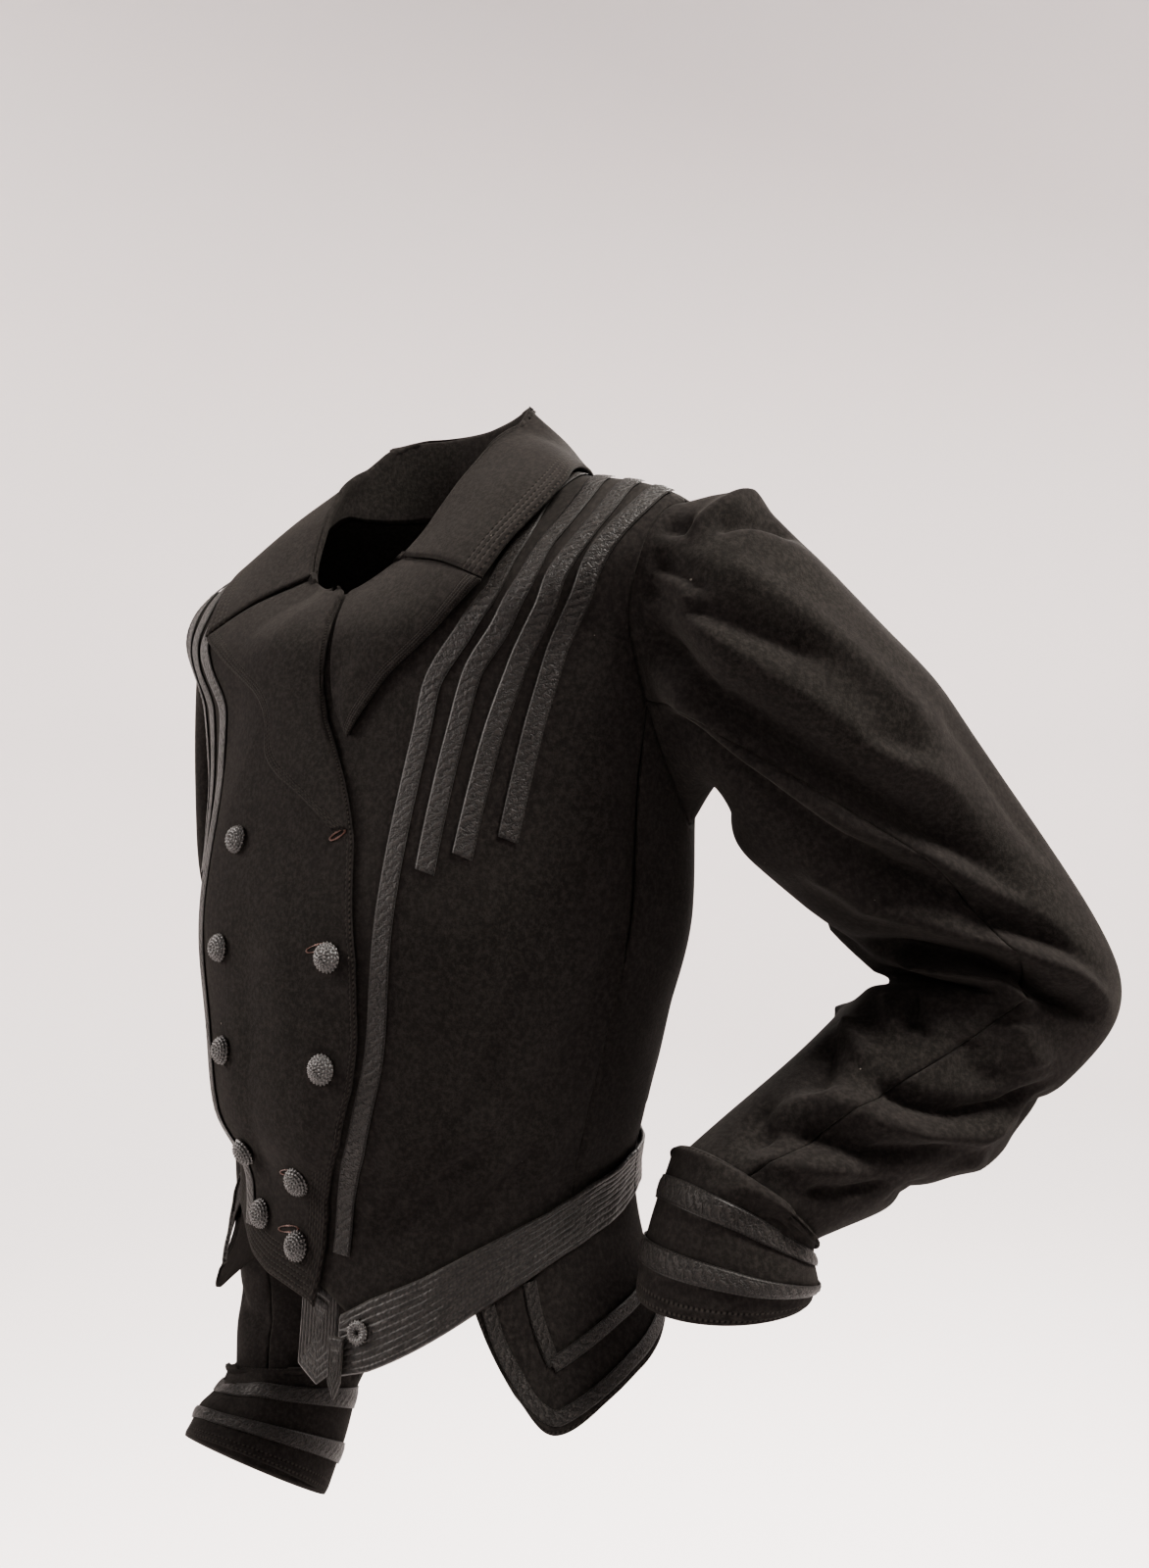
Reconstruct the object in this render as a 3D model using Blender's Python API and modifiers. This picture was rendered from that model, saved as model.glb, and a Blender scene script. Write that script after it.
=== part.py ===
"""A fitted black wool jacket with tape trimming, keeping its hollow worn shape. Metres, +Z up, front to -Y.

Every piece lies on one torso form or one of two sleeve forms, so the pieces share their seams.
A torso point is given by an angle a (0 at centre front, 90 at the wearer's left, 180 at the back)
and a level t, which counts the rows of LEVELS downwards.
"""

from collections import namedtuple
from math import cos, radians, sin

import bpy
import numpy as np

MM = 0.001
CLOTH = 1.6 * MM
SEAM = 0.2 * MM  # each side of a seam, so two pieces stay 0.4 mm apart
LAY = 0.8 * MM  # clear space between a panel and what lies on it
FRONT_LIFT = 3.0 * MM  # how far the right front rides over the left one
SQUARE = 2.2  # roundness of a torso section: 2 is an ellipse

Level = namedtuple("Level", "side_z front_drop back_rise half_width front_depth back_depth centre_y turn")
LEVELS = (
    Level(0.010, 0.072, 0.004, 0.070, 0.066, 0.052, 0.000, 3),  # neck seam
    Level(-0.032, 0.058, -0.008, 0.183, 0.074, 0.088, -0.010, 3),  # shoulder tips
    Level(-0.095, 0.030, -0.004, 0.172, 0.090, 0.094, 0.002, 2),  # chest
    Level(-0.170, 0.000, 0.000, 0.160, 0.106, 0.096, 0.012, 1),  # armpits
    Level(-0.235, 0.000, 0.000, 0.154, 0.119, 0.098, 0.016, 0),  # bust
    Level(-0.290, 0.000, 0.000, 0.140, 0.114, 0.094, 0.011, 0),  # under the bust
    Level(-0.335, 0.000, 0.000, 0.129, 0.108, 0.094, 0.006, 0),  # above the waist
    Level(-0.375, 0.000, 0.000, 0.118, 0.098, 0.090, 0.010, 0),  # waist
    Level(-0.425, 0.020, 0.000, 0.128, 0.104, 0.100, 0.010, 0),  # hem
    Level(-0.475, 0.020, 0.000, 0.150, 0.118, 0.118, 0.010, 0),  # peplum points
)
BUST_ANGLE, BUST_LEVEL, BUST_HEIGHT, BUST_SPREAD = 36, 3.8, 4 * MM, 20

Armhole = namedtuple("Armhole", "round a t")  # round: 0 at the shoulder tip, 90 in front, 180 under the arm
ARMHOLE = (
    Armhole(0, 90, 1.00),
    Armhole(20, 78, 1.05),
    Armhole(40, 70, 1.22),
    Armhole(60, 68, 1.50),
    Armhole(80, 70.5, 1.80),
    Armhole(100, 75, 2.14),
    Armhole(120, 80, 2.45),
    Armhole(140, 88, 2.80),
    Armhole(160, 96, 3.07),
    Armhole(180, 104, 3.22),
    Armhole(200, 112, 3.12),
    Armhole(220, 118, 2.85),
    Armhole(240, 119.5, 2.50),
    Armhole(260, 118.5, 2.10),
    Armhole(280, 116, 1.75),
    Armhole(300, 113.5, 1.45),
    Armhole(320, 110, 1.20),
    Armhole(340, 102, 1.05),
    Armhole(360, 90, 1.00),
)
FRONT_SEAM_ROUND, BACK_SEAM_ROUND = 120, 220  # where the side seams meet the armhole

# Lines on the torso: level, angle
Line = namedtuple("Line", "t a")
OVERLAP_EDGE = (
    Line(0.0, 2.5), Line(1.7, 3.5), Line(2.2, 6), Line(2.7, 10.7), Line(3.4, 17.7), Line(4.3, 22),
    Line(5.0, 23.2), Line(5.5, 22.7), Line(6.1, 19.8), Line(6.5, 15.7), Line(6.9, 12.3), Line(7.3, 11.5),
    Line(7.8, 8.5),
)  # fmt: skip
FRONT_SIDE_SEAM = (Line(2.45, 80), Line(4.0, 82), Line(6.0, 82), Line(8.0, 80))
BACK_SIDE_SEAM = (Line(2.85, 118), Line(4.0, 115), Line(6.0, 113), Line(8.0, 112))
LEFT_LAPEL_EDGE = (
    Line(0.75, 37), Line(1.0, 32), Line(1.17, 27.8), Line(1.47, 22.9), Line(1.75, 18.4), Line(2.1, 14.6),
    Line(2.45, 11.2),
)  # fmt: skip
RIGHT_LAPEL_EDGE = (
    Line(0.75, 35), Line(1.0, 28), Line(1.4, 18), Line(1.8, 10), Line(2.2, 6.5), Line(2.58, 5.7),
    Line(2.74, 2.6), Line(3.0, -3), Line(3.3, -12.5),
)  # fmt: skip

# Lines round the torso: angle from centre front, level
Round = namedtuple("Round", "a t")
BELT_TOP = (
    Round(0, 7.75), Round(17, 7.69), Round(25, 7.57), Round(38, 7.43), Round(53, 7.23), Round(72, 6.98),
    Round(86, 6.74), Round(105, 6.5), Round(140, 6.4), Round(180, 6.4),
)  # fmt: skip
BELT_BOTTOM = (
    Round(0, 8.25), Round(25, 8.05), Round(38, 7.88), Round(53, 7.68), Round(72, 7.46), Round(90, 7.3),
    Round(110, 7.1), Round(140, 7.0), Round(180, 7.0),
)  # fmt: skip
BELT_OFF = 3.3 * MM
HEM_UNDER_BELT = 0.3  # levels that the body goes down behind the belt
LEFT_HEM = (Round(-20, 7.3), Round(0, 7.45), Round(12, 7.58), Round(20, 7.72), Round(38, 7.73))
RIGHT_HEM = (
    Round(-12, 7.73), Round(-7, 7.65), Round(1, 7.6), Round(6, 7.58), Round(13, 7.52), Round(21, 7.42),
    Round(38, 7.3), Round(60, 7.2), Round(82, 7.05),
)  # fmt: skip

TAPE_WIDTH, TAPE_THICK = 6.4 * MM, 1.0 * MM
TAPE_CLEAR, LONG_TAPE_CLEAR, BORDER_CLEAR, V_CLEAR = 0.9 * MM, 1.5 * MM, 0.9 * MM, 1.4 * MM
Tape = namedtuple("Tape", "name path end_slant clear")  # path: Line rows from the shoulder seam down
TAPES = (
    Tape("tape_1", (Line(0.36, 88), Line(0.46, 64), Line(0.78, 43), Line(1.19, 33.6), Line(1.51, 30.3),
                    Line(1.97, 27.4), Line(2.57, 27.3), Line(4.0, 27), Line(5.0, 27), Line(5.5, 26),
                    Line(6.08, 23.6), Line(6.5, 20), Line(6.9, 17), Line(7.33, 15.5)), 0, LONG_TAPE_CLEAR),
    Tape("tape_2", (Line(0.50, 88), Line(0.57, 76), Line(0.72, 59.1), Line(0.90, 47.6), Line(1.23, 40.4),
                    Line(1.58, 38.1), Line(1.99, 35.4), Line(2.6, 34.6), Line(3.61, 34.1)), 0.10, TAPE_CLEAR),
    Tape("tape_3", (Line(0.66, 88), Line(0.76, 73), Line(0.94, 57.8), Line(1.18, 48.8), Line(1.53, 46.8),
                    Line(1.96, 45.2), Line(2.56, 42.7), Line(3.5, 41.1)), 0.10, TAPE_CLEAR),
    Tape("tape_4", (Line(0.84, 88), Line(0.92, 76), Line(1.05, 63), Line(1.24, 56.4), Line(1.56, 54.6),
                    Line(1.99, 53.2), Line(2.55, 51.2), Line(3.38, 49.7)), 0.08, TAPE_CLEAR),
)  # fmt: skip

Rail = namedtuple("Rail", "a fold_out fold_up edge_t edge_off")  # one place round the collar
COLLAR = (
    Rail(10, -7, 14, 0.72, 5.5),
    Rail(37, -7, 13, 0.58, 5.5),
    Rail(50, -8, 15, 0.44, 5.5),
    Rail(70, -9, 19, 0.36, 6.0),
    Rail(90, -9, 26, 0.33, 6.0),
    Rail(115, -8, 44, 0.30, 6.5),
    Rail(140, -6, 50, 0.34, 6.5),
    Rail(180, -2, 50, 0.40, 6.5),
)  # fold_out and fold_up, in mm from the neck seam; edge_off in mm above the form
COLLAR_END_SEAM, COLLAR_END_FOLD, COLLAR_END_EDGE = 9, 12, 36
COLLAR_ROLL = 3.6 * MM

BUTTON_RADIUS, BUTTON_HEIGHT = 6.8 * MM, 5.6 * MM
Button = namedtuple("Button", "name t a clear")  # clear: mm from its panel, which is flatter than the form
BUTTONS = (
    Button("button_near_2", 4.26, 16, 0.5),
    Button("button_near_3", 5.29, 15.6, 0.6),
    Button("button_near_4", 6.72, 4.5, 1.3),
    Button("button_near_5", 7.33, 3.5, 0.6),
    Button("button_far_1", 3.38, -12, 0.5),
    Button("button_far_2", 4.26, -15, 0.5),
    Button("button_far_3", 5.29, -15.6, 0.5),
    Button("button_far_4", 6.5, -13, 0.6),
    Button("button_far_5", 7.2, -9.5, 1.0),
)

Peplum = namedtuple("Peplum", "a t")
PEPLUM_TOP = (Peplum(50, 7.62), Peplum(72, 7.33), Peplum(90, 7.04), Peplum(110, 6.84), Peplum(116, 6.83))
PEPLUM_LOW = (Peplum(58, 8.40), Peplum(66, 8.76), Peplum(82, 8.66), Peplum(100, 8.48), Peplum(117, 8.33))
PEPLUM_OFF, PEPLUM_FLARE = 0.7 * MM, 5 * MM  # its top lies behind the belt

Section = namedtuple("Section", "name x y z outer_x outer_y outer_z half_out half_side")
LEFT_SLEEVE = (
    Section("cap", 0.201, 0.022, -0.104, 0.27, -0.06, 0.93, 0.066, 0.056),
    Section("upper arm", 0.222, 0.058, -0.149, 0.38, 0.42, 0.78, 0.063, 0.058),
    Section("above elbow", 0.241, 0.102, -0.193, 0.34, 0.74, 0.56, 0.060, 0.058),
    Section("elbow", 0.276, 0.143, -0.262, 0.50, 0.86, -0.02, 0.056, 0.056),
    Section("below elbow", 0.263, 0.125, -0.293, 0.45, 0.75, -0.45, 0.053, 0.052),
    Section("forearm", 0.236, 0.077, -0.326, 0.38, 0.48, -0.78, 0.043, 0.046),
    Section("wrist", 0.200, 0.014, -0.362, 0.58, 0.56, -0.58, 0.034, 0.040),
)
RIGHT_SLEEVE = (
    Section("cap", -0.200, 0.024, -0.110, -0.42, -0.10, 0.90, 0.074, 0.049),
    Section("upper arm", -0.213, 0.040, -0.190, -0.96, 0.08, 0.28, 0.050, 0.053),
    Section("above elbow", -0.216, 0.056, -0.255, -0.99, 0.10, 0.05, 0.047, 0.053),
    Section("elbow", -0.214, 0.064, -0.330, -0.99, 0.10, 0.00, 0.045, 0.051),
    Section("below elbow", -0.203, 0.062, -0.402, -0.99, 0.05, -0.10, 0.043, 0.048),
    Section("forearm", -0.183, 0.052, -0.478, -0.97, 0.00, -0.20, 0.041, 0.045),
    Section("wrist", -0.160, 0.032, -0.546, -0.97, 0.00, -0.22, 0.039, 0.042),
)
Cuff = namedtuple("Cuff", "dx dy dz outer_x outer_y outer_z half_out half_side")  # its free end, from the wrist
LEFT_CUFF = Cuff(-0.005, -0.007, -0.040, 0.72, 0.68, 0.02, 0.037, 0.041)
RIGHT_CUFF = Cuff(0.005, -0.036, -0.046, -0.97, 0.00, -0.15, 0.043, 0.049)
CUFF_OVER = 1.3 * MM  # the cuff's inside clears the sleeve by this
CUFF_UP = 3 * MM  # how far the cuff's turned edge comes up over the sleeve
CUFF_TAPES = ((0.18, 0.34, 1.5), (0.60, 0.76, 0.7))  # along the cuff, from and to, and mm clear of it
UNDER_FROM, UNDER_TO = 118, 242  # the under sleeve, in degrees round the arm
SLEEVE_SEAM, BESIDE_SEAM = 0.5, 4.0  # degrees in from a sleeve seam: the edge, and the next column

Fold = namedtuple("Fold", "from_round to_round from_s to_s spread height")  # s counts rows of the sleeve
LEFT_FOLDS = (
    Fold(78, 88, 0.35, 3.3, 17, -6.5),
    Fold(110, 104, 0.5, 3.2, 15, 4.5),
    Fold(50, 40, 0.8, 2.4, 16, -3.5),
    Fold(132, 100, 1.0, 3.6, 13, -4.0),
    Fold(60, 150, 4.3, 4.7, 22, -3.5),
    Fold(20, 130, 5.2, 5.6, 24, 2.6),
    Fold(280, 262, 0.5, 3.2, 18, -4.5),
)
RIGHT_FOLDS = (
    Fold(70, 82, 0.5, 3.4, 18, -5.0),
    Fold(105, 100, 0.6, 3.0, 15, 3.5),
    Fold(60, 150, 4.2, 4.6, 22, -3.0),
    Fold(290, 270, 0.5, 3.2, 18, -4.5),
    Fold(250, 330, 4.3, 4.8, 22, -3.0),
)
ARMHOLE_GAP = 1.2 * MM
GATHERS, GATHER_DEPTH, GATHER_REACH, GATHER_HALF_ANGLE = 5, 2.2 * MM, 0.55, 75

WOOL, TAPE, BELT, CORD = "wool", "tape", "belting", "crochet"
COLOURS = {WOOL: (0.020, 0.018, 0.018, 1), TAPE: (0.030, 0.024, 0.021, 1), BELT: (0.026, 0.022, 0.020, 1),
           CORD: (0.022, 0.018, 0.016, 1)}  # fmt: skip
ROUGHNESS = {WOOL: 0.92, TAPE: 0.55, BELT: 0.75, CORD: 0.7}


def smooth_rows(rows, at):
    """The rows of a table as a smooth curve through them, read at a row number."""
    rows = np.asarray(rows, float)
    last = len(rows) - 1
    at = min(max(at, 0.0), float(last))
    i = min(int(at), last - 1)
    f = at - i
    start, end = rows[i], rows[i + 1]
    leave = (end - rows[i - 1]) / 2 if i > 0 else end - start
    arrive = (rows[i + 2] - start) / 2 if i + 2 <= last else end - start
    cube, square = f**3, f**2
    return (
        (2 * cube - 3 * square + 1) * start
        + (cube - 2 * square + f) * leave
        + (3 * square - 2 * cube) * end
        + (cube - square) * arrive
    )


def follow(table, at):
    """Second column of a two-column table, at a value of its first."""
    first, second = np.array(table, float).T
    return float(np.interp(at, first, second))


def unit(v):
    return np.asarray(v, float) / np.linalg.norm(v)


def power(value, exponent):
    return np.sign(value) * abs(value) ** exponent


def form(a, t):
    """A point of the torso form."""
    level = Level(*smooth_rows(LEVELS, t))
    s, c = sin(radians(a)), cos(radians(a))
    ahead = c > 0
    depth = level.front_depth if ahead else level.back_depth
    x = level.half_width * power(s, 2 / SQUARE)
    y = level.centre_y - depth * power(c, 2 / SQUARE)
    z = level.side_z + (-level.front_drop if ahead else level.back_rise) * abs(c) ** 1.5
    from_front = abs((a + 180) % 360 - 180)
    across = ((from_front - BUST_ANGLE) / BUST_SPREAD) ** 2
    y -= BUST_HEIGHT * np.exp(-across - (t - BUST_LEVEL) ** 2)
    turn = radians(level.turn)
    return np.array([x * cos(turn) - y * sin(turn), x * sin(turn) + y * cos(turn), z])


def outward(a, t):
    """The way out of the torso form at a point of it."""
    step_a, step_t = 0.5, 0.01
    top = min(t + step_t, len(LEVELS) - 1)
    low = max(t - step_t, 0)
    return unit(np.cross(form(a, top) - form(a, low), form(a + step_a, t) - form(a - step_a, t)))


def on_form(a, t, off=0.0):
    return form(a, t) + outward(a, t) * off


def step_angle(a, t, distance):
    """The angle that moves a point this far round the form."""
    return distance / np.linalg.norm(form(a + 0.5, t) - form(a - 0.5, t))


def lift(a, t):
    """How far the right front stands off the form: over the left front, and none further round."""
    edge = follow(OVERLAP_EDGE, t)
    return FRONT_LIFT * float(np.clip((a + edge + 16) / 12, 0, 1))


def armhole_at(turn):
    rows = [(row.a, row.t) for row in ARMHOLE]
    return smooth_rows(rows, (turn % 360) / 20)


def armhole_part(first, last, count=40):
    return np.array([armhole_at(turn) for turn in np.linspace(first, last, count)])


FRONT_ARMHOLE = armhole_part(0, FRONT_SEAM_ROUND)
BACK_ARMHOLE = armhole_part(359.99, BACK_SEAM_ROUND)
UNDER_ARMHOLE = armhole_part(FRONT_SEAM_ROUND, BACK_SEAM_ROUND)


def front_outer(t):
    """The front's outer edge: shoulder seam, armhole, then side seam."""
    if t <= 1:
        return 90.0
    if t < FRONT_ARMHOLE[-1, 1]:
        return float(np.interp(t, FRONT_ARMHOLE[:, 1], FRONT_ARMHOLE[:, 0]))
    return follow(FRONT_SIDE_SEAM, t)


def back_outer(t):
    """The back's outer edge: shoulder seam, armhole, then side seam."""
    if t <= 1:
        return 90.0
    if t < BACK_ARMHOLE[-1, 1]:
        return float(np.interp(t, BACK_ARMHOLE[:, 1], BACK_ARMHOLE[:, 0]))
    return follow(BACK_SIDE_SEAM, t)


def clean_scene():
    for thing in list(bpy.data.objects):
        bpy.data.objects.remove(thing, do_unlink=True)


def material(name):
    made = bpy.data.materials.get(name)
    if made:
        return made
    made = bpy.data.materials.new(name)
    made.use_nodes = True
    shader = made.node_tree.nodes["Principled BSDF"]
    shader.inputs["Base Color"].default_value = COLOURS[name]
    shader.inputs["Roughness"].default_value = ROUGHNESS[name]
    return made


def new_object(name, points, faces, finish):
    mesh = bpy.data.meshes.new(name)
    mesh.from_pydata([tuple(p) for p in points], [], faces)
    mesh.update()
    own = material(finish).copy()
    own.name = name
    mesh.materials.append(own)
    thing = bpy.data.objects.new(name, mesh)
    bpy.context.scene.collection.objects.link(thing)
    return thing


def grid_faces(rows, columns, closed=False, flip=False):
    faces = []
    for i in range(rows - 1):
        for j in range(columns if closed else columns - 1):
            k = (j + 1) % columns
            face = (i * columns + j, (i + 1) * columns + j, (i + 1) * columns + k, i * columns + k)
            faces.append(face[::-1] if flip else face)
    return faces


def sheet(name, grid, finish=WOOL, thick=CLOTH, closed=False, flip=False, inside=False):
    """Cloth of even thickness on a grid of points, on their outer side or, if asked, their inner one."""
    grid = np.asarray(grid)
    rows, columns = grid.shape[:2]
    thing = new_object(name, grid.reshape(-1, 3), grid_faces(rows, columns, closed, flip), finish)
    wall = thing.modifiers.new("wall", "SOLIDIFY")
    wall.thickness = thick
    wall.offset = -1 if inside else 1
    wall.use_even_offset = not inside
    return thing


ARMHOLE_LEVELS = (0.0, 0.15, 0.3, 0.5, 0.7, 0.85, 1.0, 1.012, 1.05, 1.13, 1.26, 1.5, 1.8, 2.12)
FRONT_LEVELS = ARMHOLE_LEVELS + (2.45, 2.8, 3.2, 3.7, 4.3, 4.9, 5.5, 6.0, 6.35, 6.7, 7.0)
BACK_LEVELS = ARMHOLE_LEVELS + (2.5, 2.85, 3.4, 4.1, 4.8, 5.5, 6.1)


def hem_level(a, right):
    """Where the body ends: behind the belt, or the right front's free hem."""
    if right and a > -82:
        return follow(RIGHT_HEM, -a) if a < 12 else RIGHT_HEM[0].t
    if abs(a) < 38:
        return follow(LEFT_HEM, a)
    return follow(BELT_TOP, abs((a + 180) % 360 - 180)) + HEM_UNDER_BELT


def panel_to_hem(name, levels, across, inner, outer, off, right, flip=False):
    """A panel between two lines, whose last two rows spread out to reach the slanting hem."""
    rows = [(level, 0) for level in levels] + [(levels[-1], share) for share in (0.5, 1)]
    grid = []
    for level, down in rows:
        row = []
        for share in across:
            t = level
            for _ in range(3 if down else 1):
                first, last = edges(inner, outer, t)
                a = first + (last - first) * share
                t = level + (hem_level(a, right) - level) * down
            row.append(on_form(a, t, off(a, t)))
        grid.append(row)
    return sheet(name, grid, flip=flip)


def edges(inner, outer, t):
    """Both edges of a panel at a level, drawn in by the seam gap."""
    first, last = inner(t), outer(t)
    way = np.sign(last - first)
    return first + way * step_angle(first, t, SEAM), last - way * step_angle(last, t, SEAM)


def no_lift(a, t):
    return 0.0


def make_fronts():
    across = np.linspace(0, 1, 10)
    panel_to_hem("front_left", FRONT_LEVELS, across, lambda t: -follow(OVERLAP_EDGE, t), front_outer,
                 no_lift, right=False)  # fmt: skip
    panel_to_hem("front_right", FRONT_LEVELS, across, lambda t: follow(OVERLAP_EDGE, t),
                 lambda t: -front_outer(t), lift, right=True, flip=True)  # fmt: skip


def make_backs():
    across = np.linspace(0, 1, 8)
    panel_to_hem("back_left", BACK_LEVELS, across, back_outer, lambda t: 180.0, no_lift, right=False)
    panel_to_hem("back_right", BACK_LEVELS, across, lambda t: -back_outer(t), lambda t: -180.0, no_lift,
                 right=False, flip=True)  # fmt: skip


UNDERARM_DROP = 0.024  # levels that the side piece's top clears the sleeve by


def make_side(name, sign):
    """The piece under the arm: its columns start on the armhole."""
    grid = []
    columns, rows = 9, 10
    spread = (1 - np.cos(np.linspace(0, np.pi, columns))) / 2
    tops = [armhole_at(FRONT_SEAM_ROUND + (BACK_SEAM_ROUND - FRONT_SEAM_ROUND) * s) for s in spread]
    for down in np.linspace(0, 1, rows):
        row = []
        for s, (top_a, top_t) in zip(spread, tops):
            bottom = hem_level(90.0, False)
            t = top_t + (bottom - top_t) * down
            straight = follow(FRONT_SIDE_SEAM, t) * (1 - s) + follow(BACK_SIDE_SEAM, t) * s
            t = top_t + UNDERARM_DROP + (hem_level(straight, False) - top_t - UNDERARM_DROP) * down
            first = follow(FRONT_SIDE_SEAM, t) + step_angle(82, t, SEAM * 2)
            last = follow(BACK_SIDE_SEAM, t) - step_angle(114, t, SEAM * 2)
            wanted = min(max(top_a, first), last)
            a = wanted + (first * (1 - s) + last * s - wanted) * min(1, down * 3)
            row.append(on_form(sign * a, t))
        grid.append(row)
    return sheet(name, grid, flip=sign < 0)


def make_collar():
    """A stand on the neck seam, rolled over into a fall that lies on the shoulders."""
    grid = []
    columns = [np.array(row, float) for row in COLLAR]
    angles = [row.a for row in COLLAR]
    ends = np.array([COLLAR_END_SEAM, COLLAR_END_FOLD, COLLAR_END_EDGE])
    for turn in np.linspace(-1, 1, 29):
        sign = 1 if turn < 0 else -1
        share = 1 - abs(turn)  # 0 at the front ends, 1 at centre back
        a_seam, a_fold, a_edge = (ends + (180 - ends) * share) * sign
        fold = Rail(*[float(np.interp(abs(a_fold), angles, column)) for column in zip(*columns)])
        edge = Rail(*[float(np.interp(abs(a_edge), angles, column)) for column in zip(*columns)])
        away = unit(np.array([sin(radians(a_fold)), -cos(radians(a_fold)), 0]))
        seam = form(a_seam, 0) - away * 1.0 * MM + np.array([0, 0, 0.6 * MM])
        top = form(a_fold, 0) + away * fold.fold_out * MM + np.array([0, 0, fold.fold_up * MM])
        low = on_form(a_edge, edge.edge_t, edge.edge_off * MM + lift(a_edge, edge.edge_t))
        up = np.array([0, 0, 1.0])
        inside = top - up * COLLAR_ROLL * 0.8
        outside = top + away * COLLAR_ROLL - up * COLLAR_ROLL * 0.9
        middle = (outside + low) / 2 + (away + up) * 2.0 * MM
        grid.append([seam, (seam + inside) / 2, inside, top + away * COLLAR_ROLL * 0.35, outside, middle, low])
    return sheet("collar", grid, flip=True)


def make_lapel(name, sign, inner, outer, levels, base, stand):
    """A lapel on the front's points, moved out, standing off more towards its free edge."""
    grid = []
    for level in levels:
        first, last = inner(level), outer(level)
        row = []
        for share in np.linspace(0, 1, 5):
            a = first + (last - first) * share
            row.append(on_form(a, level, base + stand * share))
        grid.append(row)
    return sheet(name, grid, flip=sign < 0)


def make_lapels():
    left_levels = (0.72, 0.86, 1.0, 1.17, 1.4, 1.65, 1.9, 2.15, 2.35)
    right_levels = (0.72, 0.86, 1.0, 1.25, 1.5, 1.8, 2.1, 2.4, 2.58, 2.75, 2.95, 3.15)
    clear = CLOTH + LAY
    make_lapel("lapel_left", 1, lambda t: follow(OVERLAP_EDGE, t) + 1.2,
               lambda t: max(follow(LEFT_LAPEL_EDGE, t), follow(OVERLAP_EDGE, t) + 2.2),
               left_levels, clear, 3.0 * MM)  # fmt: skip
    make_lapel("lapel_right", -1, lambda t: follow(OVERLAP_EDGE, t) - 0.6,
               lambda t: min(-follow(RIGHT_LAPEL_EDGE, t), follow(OVERLAP_EDGE, t) - 1.6),
               right_levels, clear + FRONT_LIFT, 3.0 * MM)  # fmt: skip


def strip(name, path, width, thick, finish, steps, slant, sign, off):
    """A flat strip along a line of the torso form: path holds levels and angles."""
    path = [(row.a, row.t) for row in path]
    grid = []
    last = len(path) - 1
    for share in np.linspace(0, 1, steps):
        at = share * last
        a, t = smooth_rows(path, at)
        ahead_a, ahead_t = smooth_rows(path, min(at + 0.02, last))
        behind_a, behind_t = smooth_rows(path, max(at - 0.02, 0))
        along = unit(form(ahead_a, ahead_t) - form(behind_a, behind_t))
        out = outward(a, t)
        side = np.cross(out, along)
        raised = off + (lift(-a, t) if sign < 0 else 0)
        row = []
        for across in (-0.5, 0.5):
            slid = along * (across * slant * width * 6 if share == 1 else 0)
            point = form(a, t) + side * across * width + out * raised + slid
            row.append(mirrored_to(point, a, t, across, side, width) if sign < 0 else point)
        grid.append(row)
    return sheet(name, grid, finish, thick, flip=sign < 0)


def mirrored_to(point, a, t, across, side, width):
    """The same place on the right of the body, whose form is turned a little."""
    out = outward(-a, t)
    mirror = np.array([-1, 1, 1])
    way = unit(side * mirror - out * np.dot(side * mirror, out))
    extra = np.dot(point - form(a, t), outward(a, t))
    along = point - form(a, t) - side * across * width - outward(a, t) * extra
    return form(-a, t) + way * across * width + out * extra + along * mirror


def make_tapes():
    for tape in TAPES:
        steps = 25 if tape.name == "tape_1" else 14
        for side, sign in (("left", 1), ("right", -1)):
            strip(f"{tape.name}_{side}", tape.path, TAPE_WIDTH, TAPE_THICK, TAPE, steps, tape.end_slant, sign,
                  CLOTH + tape.clear)  # fmt: skip


def band(name, first, last, top, bottom, off, thick, finish, steps, rows=3):
    """A band round the torso between two lines, from one angle to another."""
    grid = []
    for share in np.linspace(0, 1, rows):
        row = []
        for a in np.linspace(first, last, steps):
            from_front = abs((a + 180) % 360 - 180)
            t = follow(top, from_front) * (1 - share) + follow(bottom, from_front) * share
            row.append(on_form(a, t, off))
        grid.append(row)
    return sheet(name, grid, finish, thick, flip=last < first)


def make_belt():
    off, thick = BELT_OFF, 2.2 * MM
    band("belt_left", 17, 107, BELT_TOP, BELT_BOTTOM, off, thick, BELT, 15)
    band("belt_right", -38, -107, BELT_TOP, BELT_BOTTOM, off, thick, BELT, 12)
    band("belt_back", 107.4, 252.6, BELT_TOP, BELT_BOTTOM, off, thick, BELT, 20)


def outline_plate(name, corners, off, thick, finish):
    """A small flat-sewn plate on the form, from its corners as angle and level, fanned from its middle."""
    corners = [(row.a, row.t) for row in corners]
    middle = np.mean(np.array(corners), axis=0)
    points = [on_form(*middle, off)] + [on_form(a, t, off) for a, t in corners]
    count = len(corners)
    faces = [(0, 1 + i, 1 + (i + 1) % count) for i in range(count)]
    thing = new_object(name, points, faces, finish)
    wall = thing.modifiers.new("wall", "SOLIDIFY")
    wall.thickness = thick
    wall.offset = 1
    return thing


BELT_TAB = (Round(14, 7.46), Round(2.5, 7.36), Round(4, 8.12), Round(10, 8.24), Round(15, 8.08))
KEEPER = (Round(19.4, 7.82), Round(15.6, 7.82), Round(16, 8.15), Round(18, 8.3), Round(19.4, 8.15))
EYELET = Line(7.78, 22.5)
TAB_THICK, TAB_BEHIND = 2.2 * MM, 0.9 * MM  # the tab comes out from behind the left front


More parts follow.
